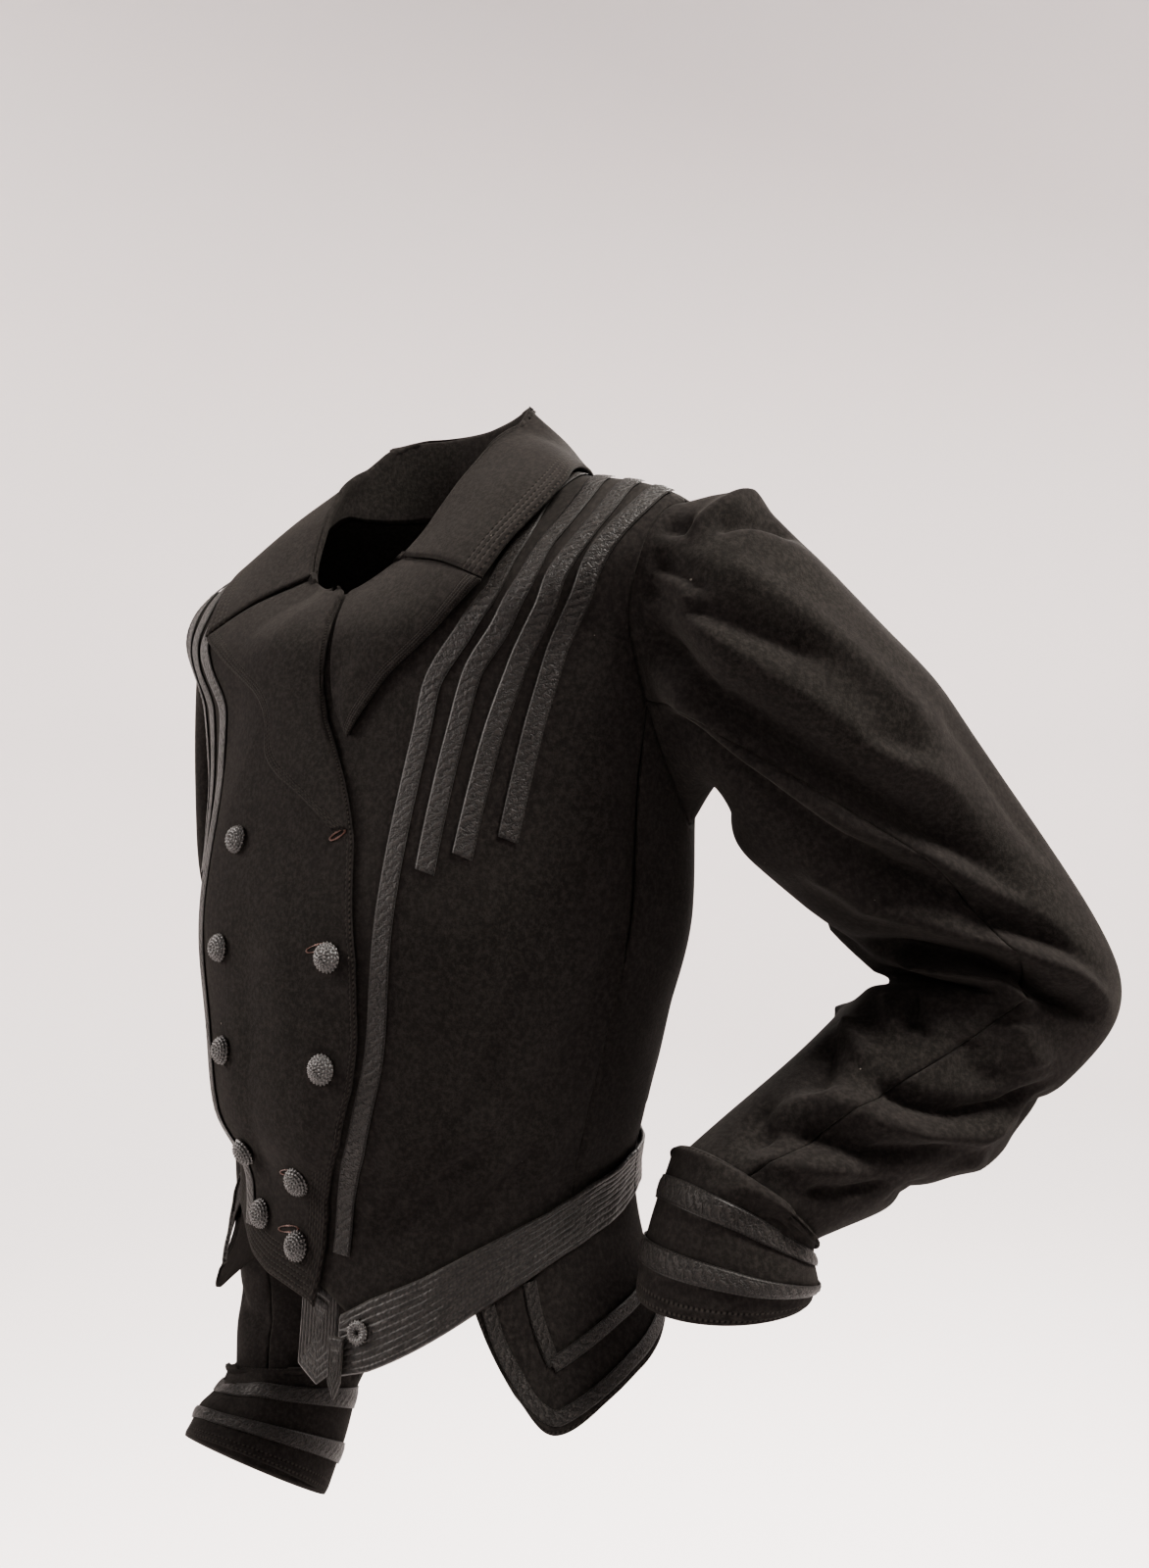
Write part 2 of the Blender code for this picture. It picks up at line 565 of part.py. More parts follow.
def make_belt_ends():
    outline_plate("belt_tab_end", BELT_TAB, -TAB_THICK - TAB_BEHIND, TAB_THICK, BELT)
    outline_plate("belt_keeper", KEEPER, BELT_OFF + 2.7 * MM, 1.6 * MM, BELT)
    dome("belt_eyelet", EYELET, 5.0 * MM, 1.8 * MM, BELT_OFF + 2.8 * MM, CORD)


def dome(name, place, radius, height, off, finish, around=10, rings=3):
    """A low dome whose flat side faces the cloth."""
    centre = on_form(place.a, place.t, off)
    out = outward(place.a, place.t)
    right = unit(np.cross(out, (0, 0, 1)))
    up = np.cross(right, out)
    points = []
    for ring in range(rings):
        rise = radians(90 * ring / rings)
        for i in range(around):
            turn = radians(360 * i / around)
            flat = (right * cos(turn) + up * sin(turn)) * radius * cos(rise)
            points.append(centre + flat + out * height * sin(rise))
    top = len(points)
    points += [centre + out * height, centre]
    faces = grid_faces(rings, around, closed=True)
    last_ring = top - around
    faces += [(last_ring + i, top, last_ring + (i + 1) % around) for i in range(around)]
    faces += [((i + 1) % around, top + 1, i) for i in range(around)]
    return new_object(name, points, faces, finish)


def make_buttons():
    for place in BUTTONS:
        off = CLOTH + place.clear * MM + lift(place.a, place.t)
        dome(place.name, place, BUTTON_RADIUS, BUTTON_HEIGHT, off, CORD)


def peplum_at(share_round, share_down, sign, off):
    low = np.array(PEPLUM_LOW, float)
    top = np.array(PEPLUM_TOP, float)
    a0, t0 = smooth_rows(top, share_round * (len(top) - 1))
    a1, t1 = smooth_rows(low, share_round * (len(low) - 1))
    a = a0 + (a1 - a0) * share_down
    t = t0 + (t1 - t0) * share_down
    return on_form(sign * a, t, off + PEPLUM_FLARE * share_down**2)


def make_peplums():
    for side, sign in (("left", 1), ("right", -1)):
        flip = sign < 0
        around, down = np.linspace(0, 1, 9), (0, 0.08, 0.17, 0.28, 0.48, 0.74, 1)
        grid = [[peplum_at(u, v, sign, PEPLUM_OFF) for u in around] for v in down]
        sheet(f"peplum_{side}", grid, flip=flip)
        make_peplum_tapes(side, sign, flip)


def make_peplum_tapes(side, sign, flip):
    """A tape round the two free edges, and one in a V on the middle."""
    off = PEPLUM_OFF + CLOTH + BORDER_CLEAR
    inset, width = 0.06, 0.09
    border = [(inset, v) for v in np.linspace(0.27, 0.87, 6)]
    border += [(u, 0.91) for u in np.linspace(0.12, 0.95, 9)]
    grid = []
    for u, v in border:
        corner = min(1, max(0, (u - inset) / 0.06))
        narrow = width * (1 - corner)
        rise = 0.095 * corner
        grid.append([peplum_at(u + narrow, v - rise, sign, off), peplum_at(u, v, sign, off)])
    sheet(f"peplum_border_{side}", grid, TAPE, TAPE_THICK, flip=not flip)
    off = PEPLUM_OFF + CLOTH + V_CLEAR
    v_line = [(0.30 + 0.12 * s, 0.27 + 0.39 * s) for s in np.linspace(0, 1, 5)]
    v_line += [(0.42 + 0.46 * s, 0.66 - 0.31 * s) for s in np.linspace(0.14, 1, 6)]
    grid = []
    for index, (u, v) in enumerate(v_line):
        rising = index > 4
        grid.append([peplum_at(u + (0 if rising else 0.075), v - (0.11 if rising else 0.026), sign, off),
                     peplum_at(u, v, sign, off)])  # fmt: skip
    sheet(f"peplum_v_{side}", grid, TAPE, TAPE_THICK, flip=not flip)


def armhole_ring(sign, turns):
    """The sleeve's first ring: on the armhole, moved away from the body pieces along their own surface."""
    ring = []
    middle = np.mean([form(sign * a, t) for a, t in armhole_part(0, 340, 18)], axis=0)
    for turn in turns:
        a, t = armhole_at(turn)
        point = form(sign * a, t)
        out = outward(sign * a, t)
        inward = middle - point
        inward = unit(inward - out * np.dot(inward, out))
        ring.append(point + inward * ARMHOLE_GAP + out * CLOTH)
    return ring


def section_ring(sections, index, turns, sign):
    """One elliptical section of the arm, square to the arm's centre line."""
    here = np.array(sections[index][1:4])
    before = np.array(sections[max(index - 1, 0)][1:4])
    after = np.array(sections[min(index + 1, len(sections) - 1)][1:4])
    along = unit(after - before)
    if index == 0:
        along = unit(unit(after - here) + np.array([sign * 1.2, 0, 0]))
    outer = unit(sections[index][4:7])
    side = unit(np.cross(along, outer)) * sign
    row = sections[index]
    return [
        here + outer * row.half_out * cos(radians(turn)) + side * row.half_side * sin(radians(turn))
        for turn in turns
    ]


def turned_from(turn, centre):
    return abs((turn - centre + 180) % 360 - 180)


def fold_height(folds, turn, s):
    total = 0.0
    for fold in folds:
        share = (s - fold.from_s) / (fold.to_s - fold.from_s)
        ends = np.clip(min(share, 1 - share) * 5 + 1, 0, 1)
        centre = fold.from_round + (fold.to_round - fold.from_round) * float(np.clip(share, 0, 1))
        if fold.to_s - fold.from_s < 1:
            reach = abs(s - (fold.from_s + fold.to_s) / 2)
            middle = (fold.from_round + fold.to_round) / 2
            half = (fold.to_round - fold.from_round) / 2
            if turned_from(turn, middle) > half + fold.spread:
                continue
            fade = np.clip((half + fold.spread - turned_from(turn, middle)) / fold.spread, 0, 1)
            total += fold.height * MM * fade * np.exp(-((reach / 0.35) ** 2))
        else:
            total += fold.height * MM * ends * np.exp(-((turned_from(turn, centre) / fold.spread) ** 2))
    if s < GATHER_REACH * 2 and turned_from(turn, 0) < GATHER_HALF_ANGLE:
        swell = sin(np.pi * min(s / GATHER_REACH / 2, 1))
        total += GATHER_DEPTH * swell * cos(radians(turn * 360 / GATHER_HALF_ANGLE * GATHERS / 5))
    return total


def arm_surface(sections, folds, sign, turns, stations):
    """Rings of points from the armhole to the wrist."""
    rings = [armhole_ring(sign, turns)]
    rings += [section_ring(sections, i, turns, sign) for i in range(len(sections))]
    rings = np.array(rings)
    grid = []
    for s in stations:
        ring = smooth_rows(rings, s)
        if s > 0.01:
            whole = smooth_rows(rings, s)
            ring = whole + np.array([
                unit(point - centre_of(sections, s)) * fold_height(folds, turn, s)
                for point, turn in zip(whole, turns)
            ])  # fmt: skip
        grid.append(ring)
    return grid


def centre_of(sections, s):
    centres = [row[1:4] for row in sections]
    return smooth_rows(centres, max(s - 1, 0))


STATIONS = (0.0, 0.12, 0.3, 0.6, 1.0, 1.45, 1.9, 2.4, 2.9, 3.3, 3.65, 4.0, 4.3, 4.6, 5.0, 5.5, 6.0, 6.5, 7.0)


def make_sleeve(side, sections, folds, sign):
    for name, first, last, count in (
        ("upper", UNDER_TO - 360, UNDER_FROM, 16),
        ("under", UNDER_FROM, UNDER_TO, 7),
    ):
        between = np.linspace(first, last, count)[1:-1]
        turns = [first + SLEEVE_SEAM, first + BESIDE_SEAM, *between, last - BESIDE_SEAM, last - SLEEVE_SEAM]
        grid = arm_surface(sections, folds, sign, turns, STATIONS)
        sheet(f"sleeve_{name}_{side}", grid, flip=sign > 0, inside=True)


def cuff_rings(sections, cuff, sign, turns):
    """The cuff's rings with their middles: just above the wrist, at it, halfway and at the free end."""
    wrist = sections[-1]
    arm = unit(np.array(wrist[1:4]) - np.array(sections[-2][1:4]))
    rings = []
    for down in (-1, 0, 0.5, 1):
        share = max(down, 0)
        centre = np.array(wrist[1:4]) + (np.array(cuff[:3]) * share if share else arm * CUFF_UP * down)
        outer = unit(unit(wrist[4:7]) * (1 - share) + unit(cuff[3:6]) * share)
        along = unit(arm * (1 - share) + unit(cuff[:3]) * share)
        side = unit(np.cross(along, outer)) * sign
        half_out = wrist.half_out * (1 - share) + cuff.half_out * share + CUFF_OVER
        half_side = wrist.half_side * (1 - share) + cuff.half_side * share + CUFF_OVER
        ring = [
            centre + outer * half_out * cos(radians(turn)) + side * half_side * sin(radians(turn))
            for turn in turns
        ]
        rings.append((centre, np.array(ring)))
    return rings


def make_cuff(side, sections, cuff, sign):
    turns = np.linspace(0, 360, 21)[:-1]
    rings = cuff_rings(sections, cuff, sign, turns)
    sheet(f"cuff_{side}", [ring for _, ring in rings], closed=True, flip=sign > 0)
    for number, (start, end, clear) in enumerate(CUFF_TAPES, 1):
        grid = []
        for down in (start, end):
            upper, lower = (1, 2) if down < 0.5 else (2, 3)
            share = (down - (upper - 1) * 0.5) * 2
            centre = rings[upper][0] * (1 - share) + rings[lower][0] * share
            ring = rings[upper][1] * (1 - share) + rings[lower][1] * share
            grid.append([point + unit(point - centre) * (CLOTH + clear * MM) for point in ring])
        sheet(f"cuff_tape_{number}_{side}", grid, TAPE, TAPE_THICK, closed=True, flip=sign > 0)


def make_sleeves():
    for side, sections, folds, cuff, sign in (
        ("left", LEFT_SLEEVE, LEFT_FOLDS, LEFT_CUFF, 1),
        ("right", RIGHT_SLEEVE, RIGHT_FOLDS, RIGHT_CUFF, -1),
    ):
        make_sleeve(side, sections, folds, sign)
        make_cuff(side, sections, cuff, sign)


clean_scene()
make_fronts()
make_backs()
make_side("side_left", 1)
make_side("side_right", -1)
make_collar()
make_lapels()
make_tapes()
make_belt()
make_belt_ends()
make_buttons()
make_peplums()
make_sleeves()
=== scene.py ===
"""Looks of a fitted black wool jacket with tape trimming: cloth, folds, stitching and crocheted buttons.

Each piece is rebuilt, finer, on the same forms as the solid that it replaces. A torso point is given by an
angle a (0 at centre front, 90 at the wearer's left, 180 at the back) and a level t, which counts the rows
of LEVELS downwards. A sleeve point is given by its turn round the arm and s, which counts the arm's rings.
"""

from collections import namedtuple

import bpy
import numpy as np
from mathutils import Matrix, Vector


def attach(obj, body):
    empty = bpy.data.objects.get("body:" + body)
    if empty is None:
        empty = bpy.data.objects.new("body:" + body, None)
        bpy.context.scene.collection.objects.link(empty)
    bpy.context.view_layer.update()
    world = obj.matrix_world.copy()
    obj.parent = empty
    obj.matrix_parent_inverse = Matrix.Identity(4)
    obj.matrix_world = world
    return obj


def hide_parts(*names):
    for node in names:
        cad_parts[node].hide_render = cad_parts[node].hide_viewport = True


MM = 0.001
CLOTH = 1.6 * MM
FRONT_LIFT = 3.0 * MM  # how far the right front rides over the left one
SQUARE = 2.2  # roundness of a torso section: 2 is an ellipse
SIDES = (("left", 1), ("right", -1))  # the wearer's

EYE = (0.49048, -0.44163, -0.2036)
LOOK = (-0.64955, 0.75738, 0.06681)
FLOOR_Z = -1.15
FLOOR_COLOUR = (0.80, 0.765, 0.765, 1)
WORLD_COLOUR, WORLD_STRENGTH = (1.0, 0.97, 0.97, 1), 0.52
LIGHTS = (  # name, place, target, size, watts, colour
    ("key", (1.15, 0.25, 1.5), (0.15, 0.0, -0.25), 0.8, 205, (1.0, 0.96, 0.91)),
    ("left", (-1.35, -1.15, 0.5), (0.0, 0.0, -0.25), 0.8, 66, (1.0, 0.95, 0.91)),
    ("back", (-0.4, 1.7, 0.9), (0.0, 0.0, -0.25), 0.8, 60, (1.0, 0.95, 0.91)),
)
WOOL_DARK, WOOL_LIGHT, WOOL_NAP = (0.0040, 0.0036, 0.0034), (0.0085, 0.0076, 0.0071), (0.019, 0.017, 0.0155)
WOOL_SHEEN = 0.012
# The lighter tape colour is both the tapes' lighter tone and their painted highlight on the crests of the
# crinkle folds; the belt uses it only as a lighter tone.
TAPE_DARK, TAPE_LIGHT_AND_HIGHLIGHT, THREAD = (0.0034, 0.0030, 0.0028), (0.0165, 0.0148, 0.0136), (0.022, 0.0195, 0.0175)

Level = namedtuple("Level", "side_z front_drop back_rise half_width front_depth back_depth centre_y turn")
LEVELS = (
    Level(0.010, 0.072, 0.004, 0.070, 0.066, 0.052, 0.000, 3),  # neck seam
    Level(-0.032, 0.058, -0.008, 0.183, 0.074, 0.088, -0.010, 3),  # shoulder tips
    Level(-0.095, 0.030, -0.004, 0.172, 0.090, 0.094, 0.002, 2),  # chest
    Level(-0.170, 0.000, 0.000, 0.160, 0.106, 0.096, 0.012, 1),  # armpits
    Level(-0.235, 0.000, 0.000, 0.154, 0.119, 0.098, 0.016, 0),  # bust
    Level(-0.290, 0.000, 0.000, 0.140, 0.114, 0.094, 0.011, 0),  # under the bust
    Level(-0.335, 0.000, 0.000, 0.129, 0.108, 0.094, 0.006, 0),  # above the waist
    Level(-0.375, 0.000, 0.000, 0.118, 0.098, 0.090, 0.010, 0),  # waist
    Level(-0.425, 0.020, 0.000, 0.128, 0.104, 0.100, 0.010, 0),  # hem
    Level(-0.475, 0.020, 0.000, 0.150, 0.118, 0.118, 0.010, 0),  # peplum points
)
BUST_ANGLE, BUST_LEVEL, BUST_HEIGHT, BUST_SPREAD = 36, 3.8, 4 * MM, 20
MM_PER_DEGREE, MM_PER_LEVEL = 2.2, 50.0  # rough, for placing creases
TORSO_MM = np.array([MM_PER_DEGREE, MM_PER_LEVEL])

Armhole = namedtuple("Armhole", "turn a t")  # turn: 0 at the shoulder tip, 90 in front, 180 under the arm
ARMHOLE = (
    Armhole(0, 90, 1.00), Armhole(20, 78, 1.05), Armhole(40, 70, 1.22), Armhole(60, 68, 1.50),
    Armhole(80, 70.5, 1.80), Armhole(100, 75, 2.14), Armhole(120, 80, 2.45), Armhole(140, 88, 2.80),
    Armhole(160, 96, 3.07), Armhole(180, 104, 3.22), Armhole(200, 112, 3.12), Armhole(220, 118, 2.85),
    Armhole(240, 119.5, 2.50), Armhole(260, 118.5, 2.10), Armhole(280, 116, 1.75),
    Armhole(300, 113.5, 1.45), Armhole(320, 110, 1.20), Armhole(340, 102, 1.05), Armhole(360, 90, 1.00),
)
FRONT_SEAM_TURN, BACK_SEAM_TURN = 120, 220

Line = namedtuple("Line", "t a")
OVERLAP_EDGE = (
    Line(0.0, 2.5), Line(1.7, 3.5), Line(2.2, 6), Line(2.7, 10.7), Line(3.4, 17.7), Line(4.3, 22),
    Line(5.0, 23.2), Line(5.5, 22.7), Line(6.1, 19.8), Line(6.5, 15.7), Line(6.9, 12.3), Line(7.3, 11.5),
    Line(7.8, 8.5),
)
FRONT_SIDE_SEAM = (Line(2.45, 80), Line(4.0, 82), Line(6.0, 82), Line(8.0, 80))
BACK_SIDE_SEAM = (Line(2.85, 118), Line(4.0, 115), Line(6.0, 113), Line(8.0, 112))
LapelRow = namedtuple("LapelRow", "inner_a inner_t outer_a outer_t")  # from the collar's end down
LEFT_LAPEL = (
    LapelRow(32, 0.0, 35.5, 0.98), LapelRow(23, 0.0, 32.0, 1.07), LapelRow(12, 0.0, 28.0, 1.20),
    LapelRow(5.0, 0.05, 24.5, 1.38), LapelRow(4.2, 0.45, 21.5, 1.56), LapelRow(4.4, 0.95, 18.4, 1.75),
    LapelRow(4.8, 1.45, 15.9, 1.98), LapelRow(6.4, 1.95, 13.8, 2.2), LapelRow(10.4, 2.4, 12.0, 2.46),
)
RIGHT_LAPEL = (
    LapelRow(32, 0.0, 35.5, 0.98), LapelRow(20, 0.0, 26, 1.14), LapelRow(8, 0.0, 18, 1.40),
    LapelRow(-1.7, 0.05, 12.5, 1.65), LapelRow(-2.2, 0.7, 9, 1.90), LapelRow(-2.8, 1.5, 6.8, 2.2),
    LapelRow(-5.0, 2.2, 5.7, 2.58), LapelRow(-9.4, 2.68, 1.5, 2.84), LapelRow(-13.2, 3.05, -5, 3.07),
    LapelRow(-15.8, 3.32, -14.0, 3.34),
)
LAPEL_BASE, LAPEL_STAND = CLOTH + 0.5 * MM, 2.2 * MM

Round = namedtuple("Round", "a t")
BELT_TOP = (
    Round(0, 7.75), Round(17, 7.69), Round(25, 7.57), Round(38, 7.43), Round(53, 7.23), Round(72, 6.98),
    Round(86, 6.74), Round(105, 6.5), Round(140, 6.4), Round(180, 6.4),
)
BELT_BOTTOM = (
    Round(0, 8.25), Round(25, 8.05), Round(38, 7.88), Round(53, 7.68), Round(72, 7.46), Round(90, 7.3),
    Round(110, 7.1), Round(140, 7.0), Round(180, 7.0),
)
BELT_OFF = 3.3 * MM
HEM_UNDER_BELT = 0.3
LEFT_HEM = (Round(-20, 7.3), Round(0, 7.45), Round(12, 7.58), Round(20, 7.72), Round(38, 7.73))
RIGHT_HEM = (
    Round(-12, 7.73), Round(-7, 7.65), Round(1, 7.6), Round(6, 7.58), Round(13, 7.52), Round(21, 7.42),
    Round(38, 7.3), Round(60, 7.2), Round(82, 7.05),
)

Tape = namedtuple("Tape", "name path slant clear")  # path: Line rows from the shoulder seam down
TAPES = (
    Tape("tape_1", (Line(0.36, 88), Line(0.46, 64), Line(0.78, 43), Line(1.19, 33.6), Line(1.51, 30.3),
                    Line(1.97, 27.4), Line(2.57, 27.3), Line(4.0, 27), Line(5.0, 27), Line(5.5, 26),
                    Line(6.08, 23.6), Line(6.5, 20), Line(6.9, 17), Line(7.33, 15.5)), 0, 0.5),
    Tape("tape_2", (Line(0.50, 88), Line(0.57, 76), Line(0.72, 59.1), Line(0.90, 47.6), Line(1.23, 40.4),
                    Line(1.58, 38.1), Line(1.99, 35.4), Line(2.6, 34.6), Line(3.61, 34.1)), 0.6, 0.5),
    Tape("tape_3", (Line(0.66, 88), Line(0.76, 73), Line(0.94, 57.8), Line(1.18, 48.8), Line(1.53, 46.8),
                    Line(1.96, 45.2), Line(2.56, 42.7), Line(3.5, 41.1)), 0.6, 0.5),
    Tape("tape_4", (Line(0.84, 88), Line(0.92, 76), Line(1.05, 63), Line(1.24, 56.4), Line(1.56, 54.6),
                    Line(1.99, 53.2), Line(2.55, 51.2), Line(3.38, 49.7)), 0.5, 0.5),
)
TAPE_WIDTH, TAPE_THICK, TAPE_SEAT, TAPE_CRINKLE = 10.2 * MM, 0.45 * MM, 0.5 * MM, 0.65 * MM
PEPLUM_TAPE_WIDTH = 6.8 * MM

Rail = namedtuple("Rail", "a fold_out fold_up edge_t edge_off")  # one place round the collar
COLLAR = (
    Rail(32, -2.5, 5, 0.99, 5.5), Rail(36.5, -3.5, 6.5, 0.96, 5.5), Rail(44.5, -5.5, 9.5, 0.74, 5.5),
    Rail(53.5, -8, 15, 0.64, 5.5), Rail(60.5, -8.5, 17, 0.59, 5.8), Rail(70, -9, 19, 0.52, 5.2),
    Rail(78, -9, 22, 0.44, 4.2), Rail(90, -9, 26, 0.35, 3.4), Rail(115, -8, 44, 0.30, 4.0),
    Rail(140, -6, 50, 0.34, 6.5), Rail(180, -2, 50, 0.40, 6.5),
)
COLLAR_END_SEAM, COLLAR_END_FOLD, COLLAR_END_EDGE = 30, 32, 35.5
COLLAR_ROLL = 3.6 * MM

BUTTON_RADIUS, BUTTON_HEIGHT = 6.8 * MM, 5.6 * MM
Button = namedtuple("Button", "name t a clear")
BUTTONS = (
    Button("button_near_2", 4.26, 16, 0.4), Button("button_near_3", 5.29, 15.6, 0.4),
    Button("button_near_4", 6.72, 4.5, 0.6), Button("button_near_5", 7.33, 3.5, 0.4),
    Button("button_far_1", 3.38, -12, 0.4), Button("button_far_2", 4.26, -15, 0.4),
    Button("button_far_3", 5.29, -15.6, 0.4), Button("button_far_4", 6.5, -13, 0.4),
    Button("button_far_5", 7.2, -9.5, 0.4),
)

Buttonhole = namedtuple("Buttonhole", "t a length tilt")
BUTTONHOLES = (
    Buttonhole(3.36, 14.0, 10, -25), Buttonhole(4.19, 13.0, 15, -15), Buttonhole(5.20, 12.6, 15, -15),
    Buttonhole(6.63, 1.8, 15, -15), Buttonhole(7.24, 0.2, 16, -12),
)

PEPLUM_TOP = (Round(50, 7.62), Round(72, 7.33), Round(90, 7.04), Round(110, 6.84), Round(116, 6.83))
PEPLUM_LOW = (Round(58.5, 8.36), Round(65.5, 8.75), Round(80, 8.67), Round(96, 8.5), Round(110, 8.26))
PEPLUM_OFF, PEPLUM_FLARE = 0.7 * MM, 5 * MM
PEPLUM_BORDER = (
    Line(7.66, 54.2), Line(7.95, 56.6), Line(8.25, 59.8), Line(8.46, 62.2), Line(8.62, 66), Line(8.63, 70),
    Line(8.56, 80), Line(8.47, 89), Line(8.34, 99), Line(8.2, 107.5),
)
PEPLUM_V = (
    (Line(7.56, 65.6), Line(7.8, 66.4), Line(8.02, 67.6), Line(8.24, 69)),
    (Line(8.24, 68.4), Line(8.16, 80), Line(8.06, 92), Line(7.88, 110)),
)

BELT_TAB = (Round(14, 7.46), Round(2.5, 7.36), Round(4, 8.12), Round(10, 8.24), Round(15, 8.08))
KEEPER = (Round(19.4, 7.82), Round(15.6, 7.82), Round(16, 8.15), Round(18, 8.3), Round(19.4, 8.15))
EYELET = Line(7.78, 22.5)
TAB_THICK, TAB_BEHIND = 2.2 * MM, 0.9 * MM

Section = namedtuple("Section", "x y z outer_x outer_y outer_z half_out half_side")
LEFT_SLEEVE = (
    Section(0.201, 0.022, -0.104, 0.27, -0.06, 0.93, 0.066, 0.056),  # cap
    Section(0.222, 0.058, -0.149, 0.38, 0.42, 0.78, 0.063, 0.058),  # upper arm
    Section(0.241, 0.102, -0.193, 0.34, 0.74, 0.56, 0.060, 0.058),  # above the elbow
    Section(0.276, 0.143, -0.262, 0.50, 0.86, -0.02, 0.056, 0.056),  # elbow
    Section(0.263, 0.125, -0.293, 0.45, 0.75, -0.45, 0.053, 0.052),  # below the elbow
    Section(0.236, 0.077, -0.326, 0.38, 0.48, -0.78, 0.043, 0.046),  # forearm
    Section(0.200, 0.014, -0.362, 0.58, 0.56, -0.58, 0.034, 0.040),  # wrist
)
RIGHT_SLEEVE = (
    Section(-0.200, 0.024, -0.110, -0.42, -0.10, 0.90, 0.074, 0.049),
    Section(-0.213, 0.040, -0.190, -0.96, 0.08, 0.28, 0.050, 0.053),
    Section(-0.216, 0.056, -0.255, -0.99, 0.10, 0.05, 0.047, 0.053),
    Section(-0.214, 0.064, -0.330, -0.99, 0.10, 0.00, 0.045, 0.051),
    Section(-0.203, 0.062, -0.402, -0.99, 0.05, -0.10, 0.043, 0.048),
    Section(-0.183, 0.052, -0.478, -0.97, 0.00, -0.20, 0.041, 0.045),
    Section(-0.160, 0.032, -0.546, -0.97, 0.00, -0.22, 0.039, 0.042),
)
Cuff = namedtuple("Cuff", "dx dy dz outer_x outer_y outer_z half_out half_side")
LEFT_CUFF = Cuff(-0.005, -0.007, -0.040, 0.72, 0.68, 0.02, 0.037, 0.041)
RIGHT_CUFF = Cuff(0.005, -0.036, -0.046, -0.97, 0.00, -0.15, 0.043, 0.049)
CUFF_OVER, CUFF_UP = 1.3 * MM, 3 * MM
CUFF_TAPES = ((0.18, 0.34), (0.60, 0.76))
UNDER_FROM, UNDER_TO = 118, 242
ARMHOLE_GAP = 1.2 * MM

# A crease on the torso passes through points a, t. height in mm, minus for a trough; spread in mm.
Crease = namedtuple("Crease", "height spread path")
LEFT_CREASES = (
    Crease(-3.4, 10, ((70, 3.3), (60, 3.88), (55.5, 4.26), (52, 4.9), (50, 5.5))),  # from the bust
    Crease(1.8, 12, ((66, 4.2), (60, 4.8), (56, 5.5))),
    Crease(-2.6, 9, ((77, 3.9), (75, 4.8), (68, 5.4), (60, 6.1))),
    Crease(-2.4, 8, ((79, 2.6), (80, 3.4), (80.5, 4.3))),  # beside the arm
    Crease(1.6, 9, ((73, 3.0), (73, 3.8), (71, 4.5))),
    Crease(-3.0, 6.5, ((55, 5.0), (48, 5.62), (42, 6.16), (33, 6.75), (23, 7.3))),  # folds to the waist
    Crease(2.4, 6.5, ((57, 5.6), (48, 6.1), (39, 6.6), (28, 7.1))),
    Crease(-2.8, 5.5, ((55, 6.1), (43.5, 6.45), (38.5, 6.8), (28, 7.3))),
    Crease(1.8, 6, ((62, 6.2), (50, 6.7), (40, 7.1))),
    Crease(-1.8, 6, ((70, 6.1), (58, 6.7), (48, 7.1))),
    Crease(1.4, 5, ((36, 6.0), (29, 6.6), (19, 7.1))),
    Crease(-1.5, 4, ((30, 6.3), (24, 6.8), (17, 7.2))),
    Crease(1.2, 8, ((76, 5.6), (72, 6.3), (66, 6.8))),
)
RIGHT_CREASES = (
    Crease(-3.0, 10, ((-70, 3.3), (-60, 3.9), (-55, 4.4), (-51, 5.2))),
    Crease(-2.4, 9, ((-78, 2.8), (-79, 3.7), (-74, 4.8), (-66, 5.6))),
    Crease(-2.6, 7, ((-56, 5.0), (-48, 5.7), (-38, 6.4), (-28, 7.1))),
    Crease(2.0, 7, ((-58, 5.6), (-48, 6.2), (-38, 6.9))),
    Crease(-2.0, 6, ((-60, 6.1), (-50, 6.6), (-42, 7.1))),
    Crease(0.9, 11, ((2, 3.9), (5, 5.2), (2, 6.7))),
    Crease(-0.9, 9, ((-6, 4.0), (-5, 5.4), (-6, 7.0))),
    Crease(0.8, 8, ((13, 4.6), (12, 5.6), (8, 6.6))),
)
BACK_CREASES = (
    Crease(2.2, 8, ((130, 6.3), (127, 5.4), (128, 4.4))),
    Crease(-2.2, 7, ((138, 6.4), (138, 5.6), (143, 4.7))),
    Crease(2.0, 7, ((147, 6.4), (149, 5.7), (156, 5.1))),
    Crease(-1.6, 7, ((158, 6.4), (161, 5.8), (168, 5.3))),
    Crease(1.3, 7, ((171, 6.4), (173, 5.8))),
    Crease(-2.6, 9, ((121, 2.5), (134, 2.9), (150, 2.8))),  # drawn in by the arm
    Crease(1.8, 9, ((120, 2.9), (133, 3.4), (146, 3.4))),
    Crease(-1.6, 9, ((119, 3.3), (130, 3.9), (140, 4.1))),
    Crease(-1.3, 12, ((118, 1.6), (128, 1.9), (140, 2.0))),
)

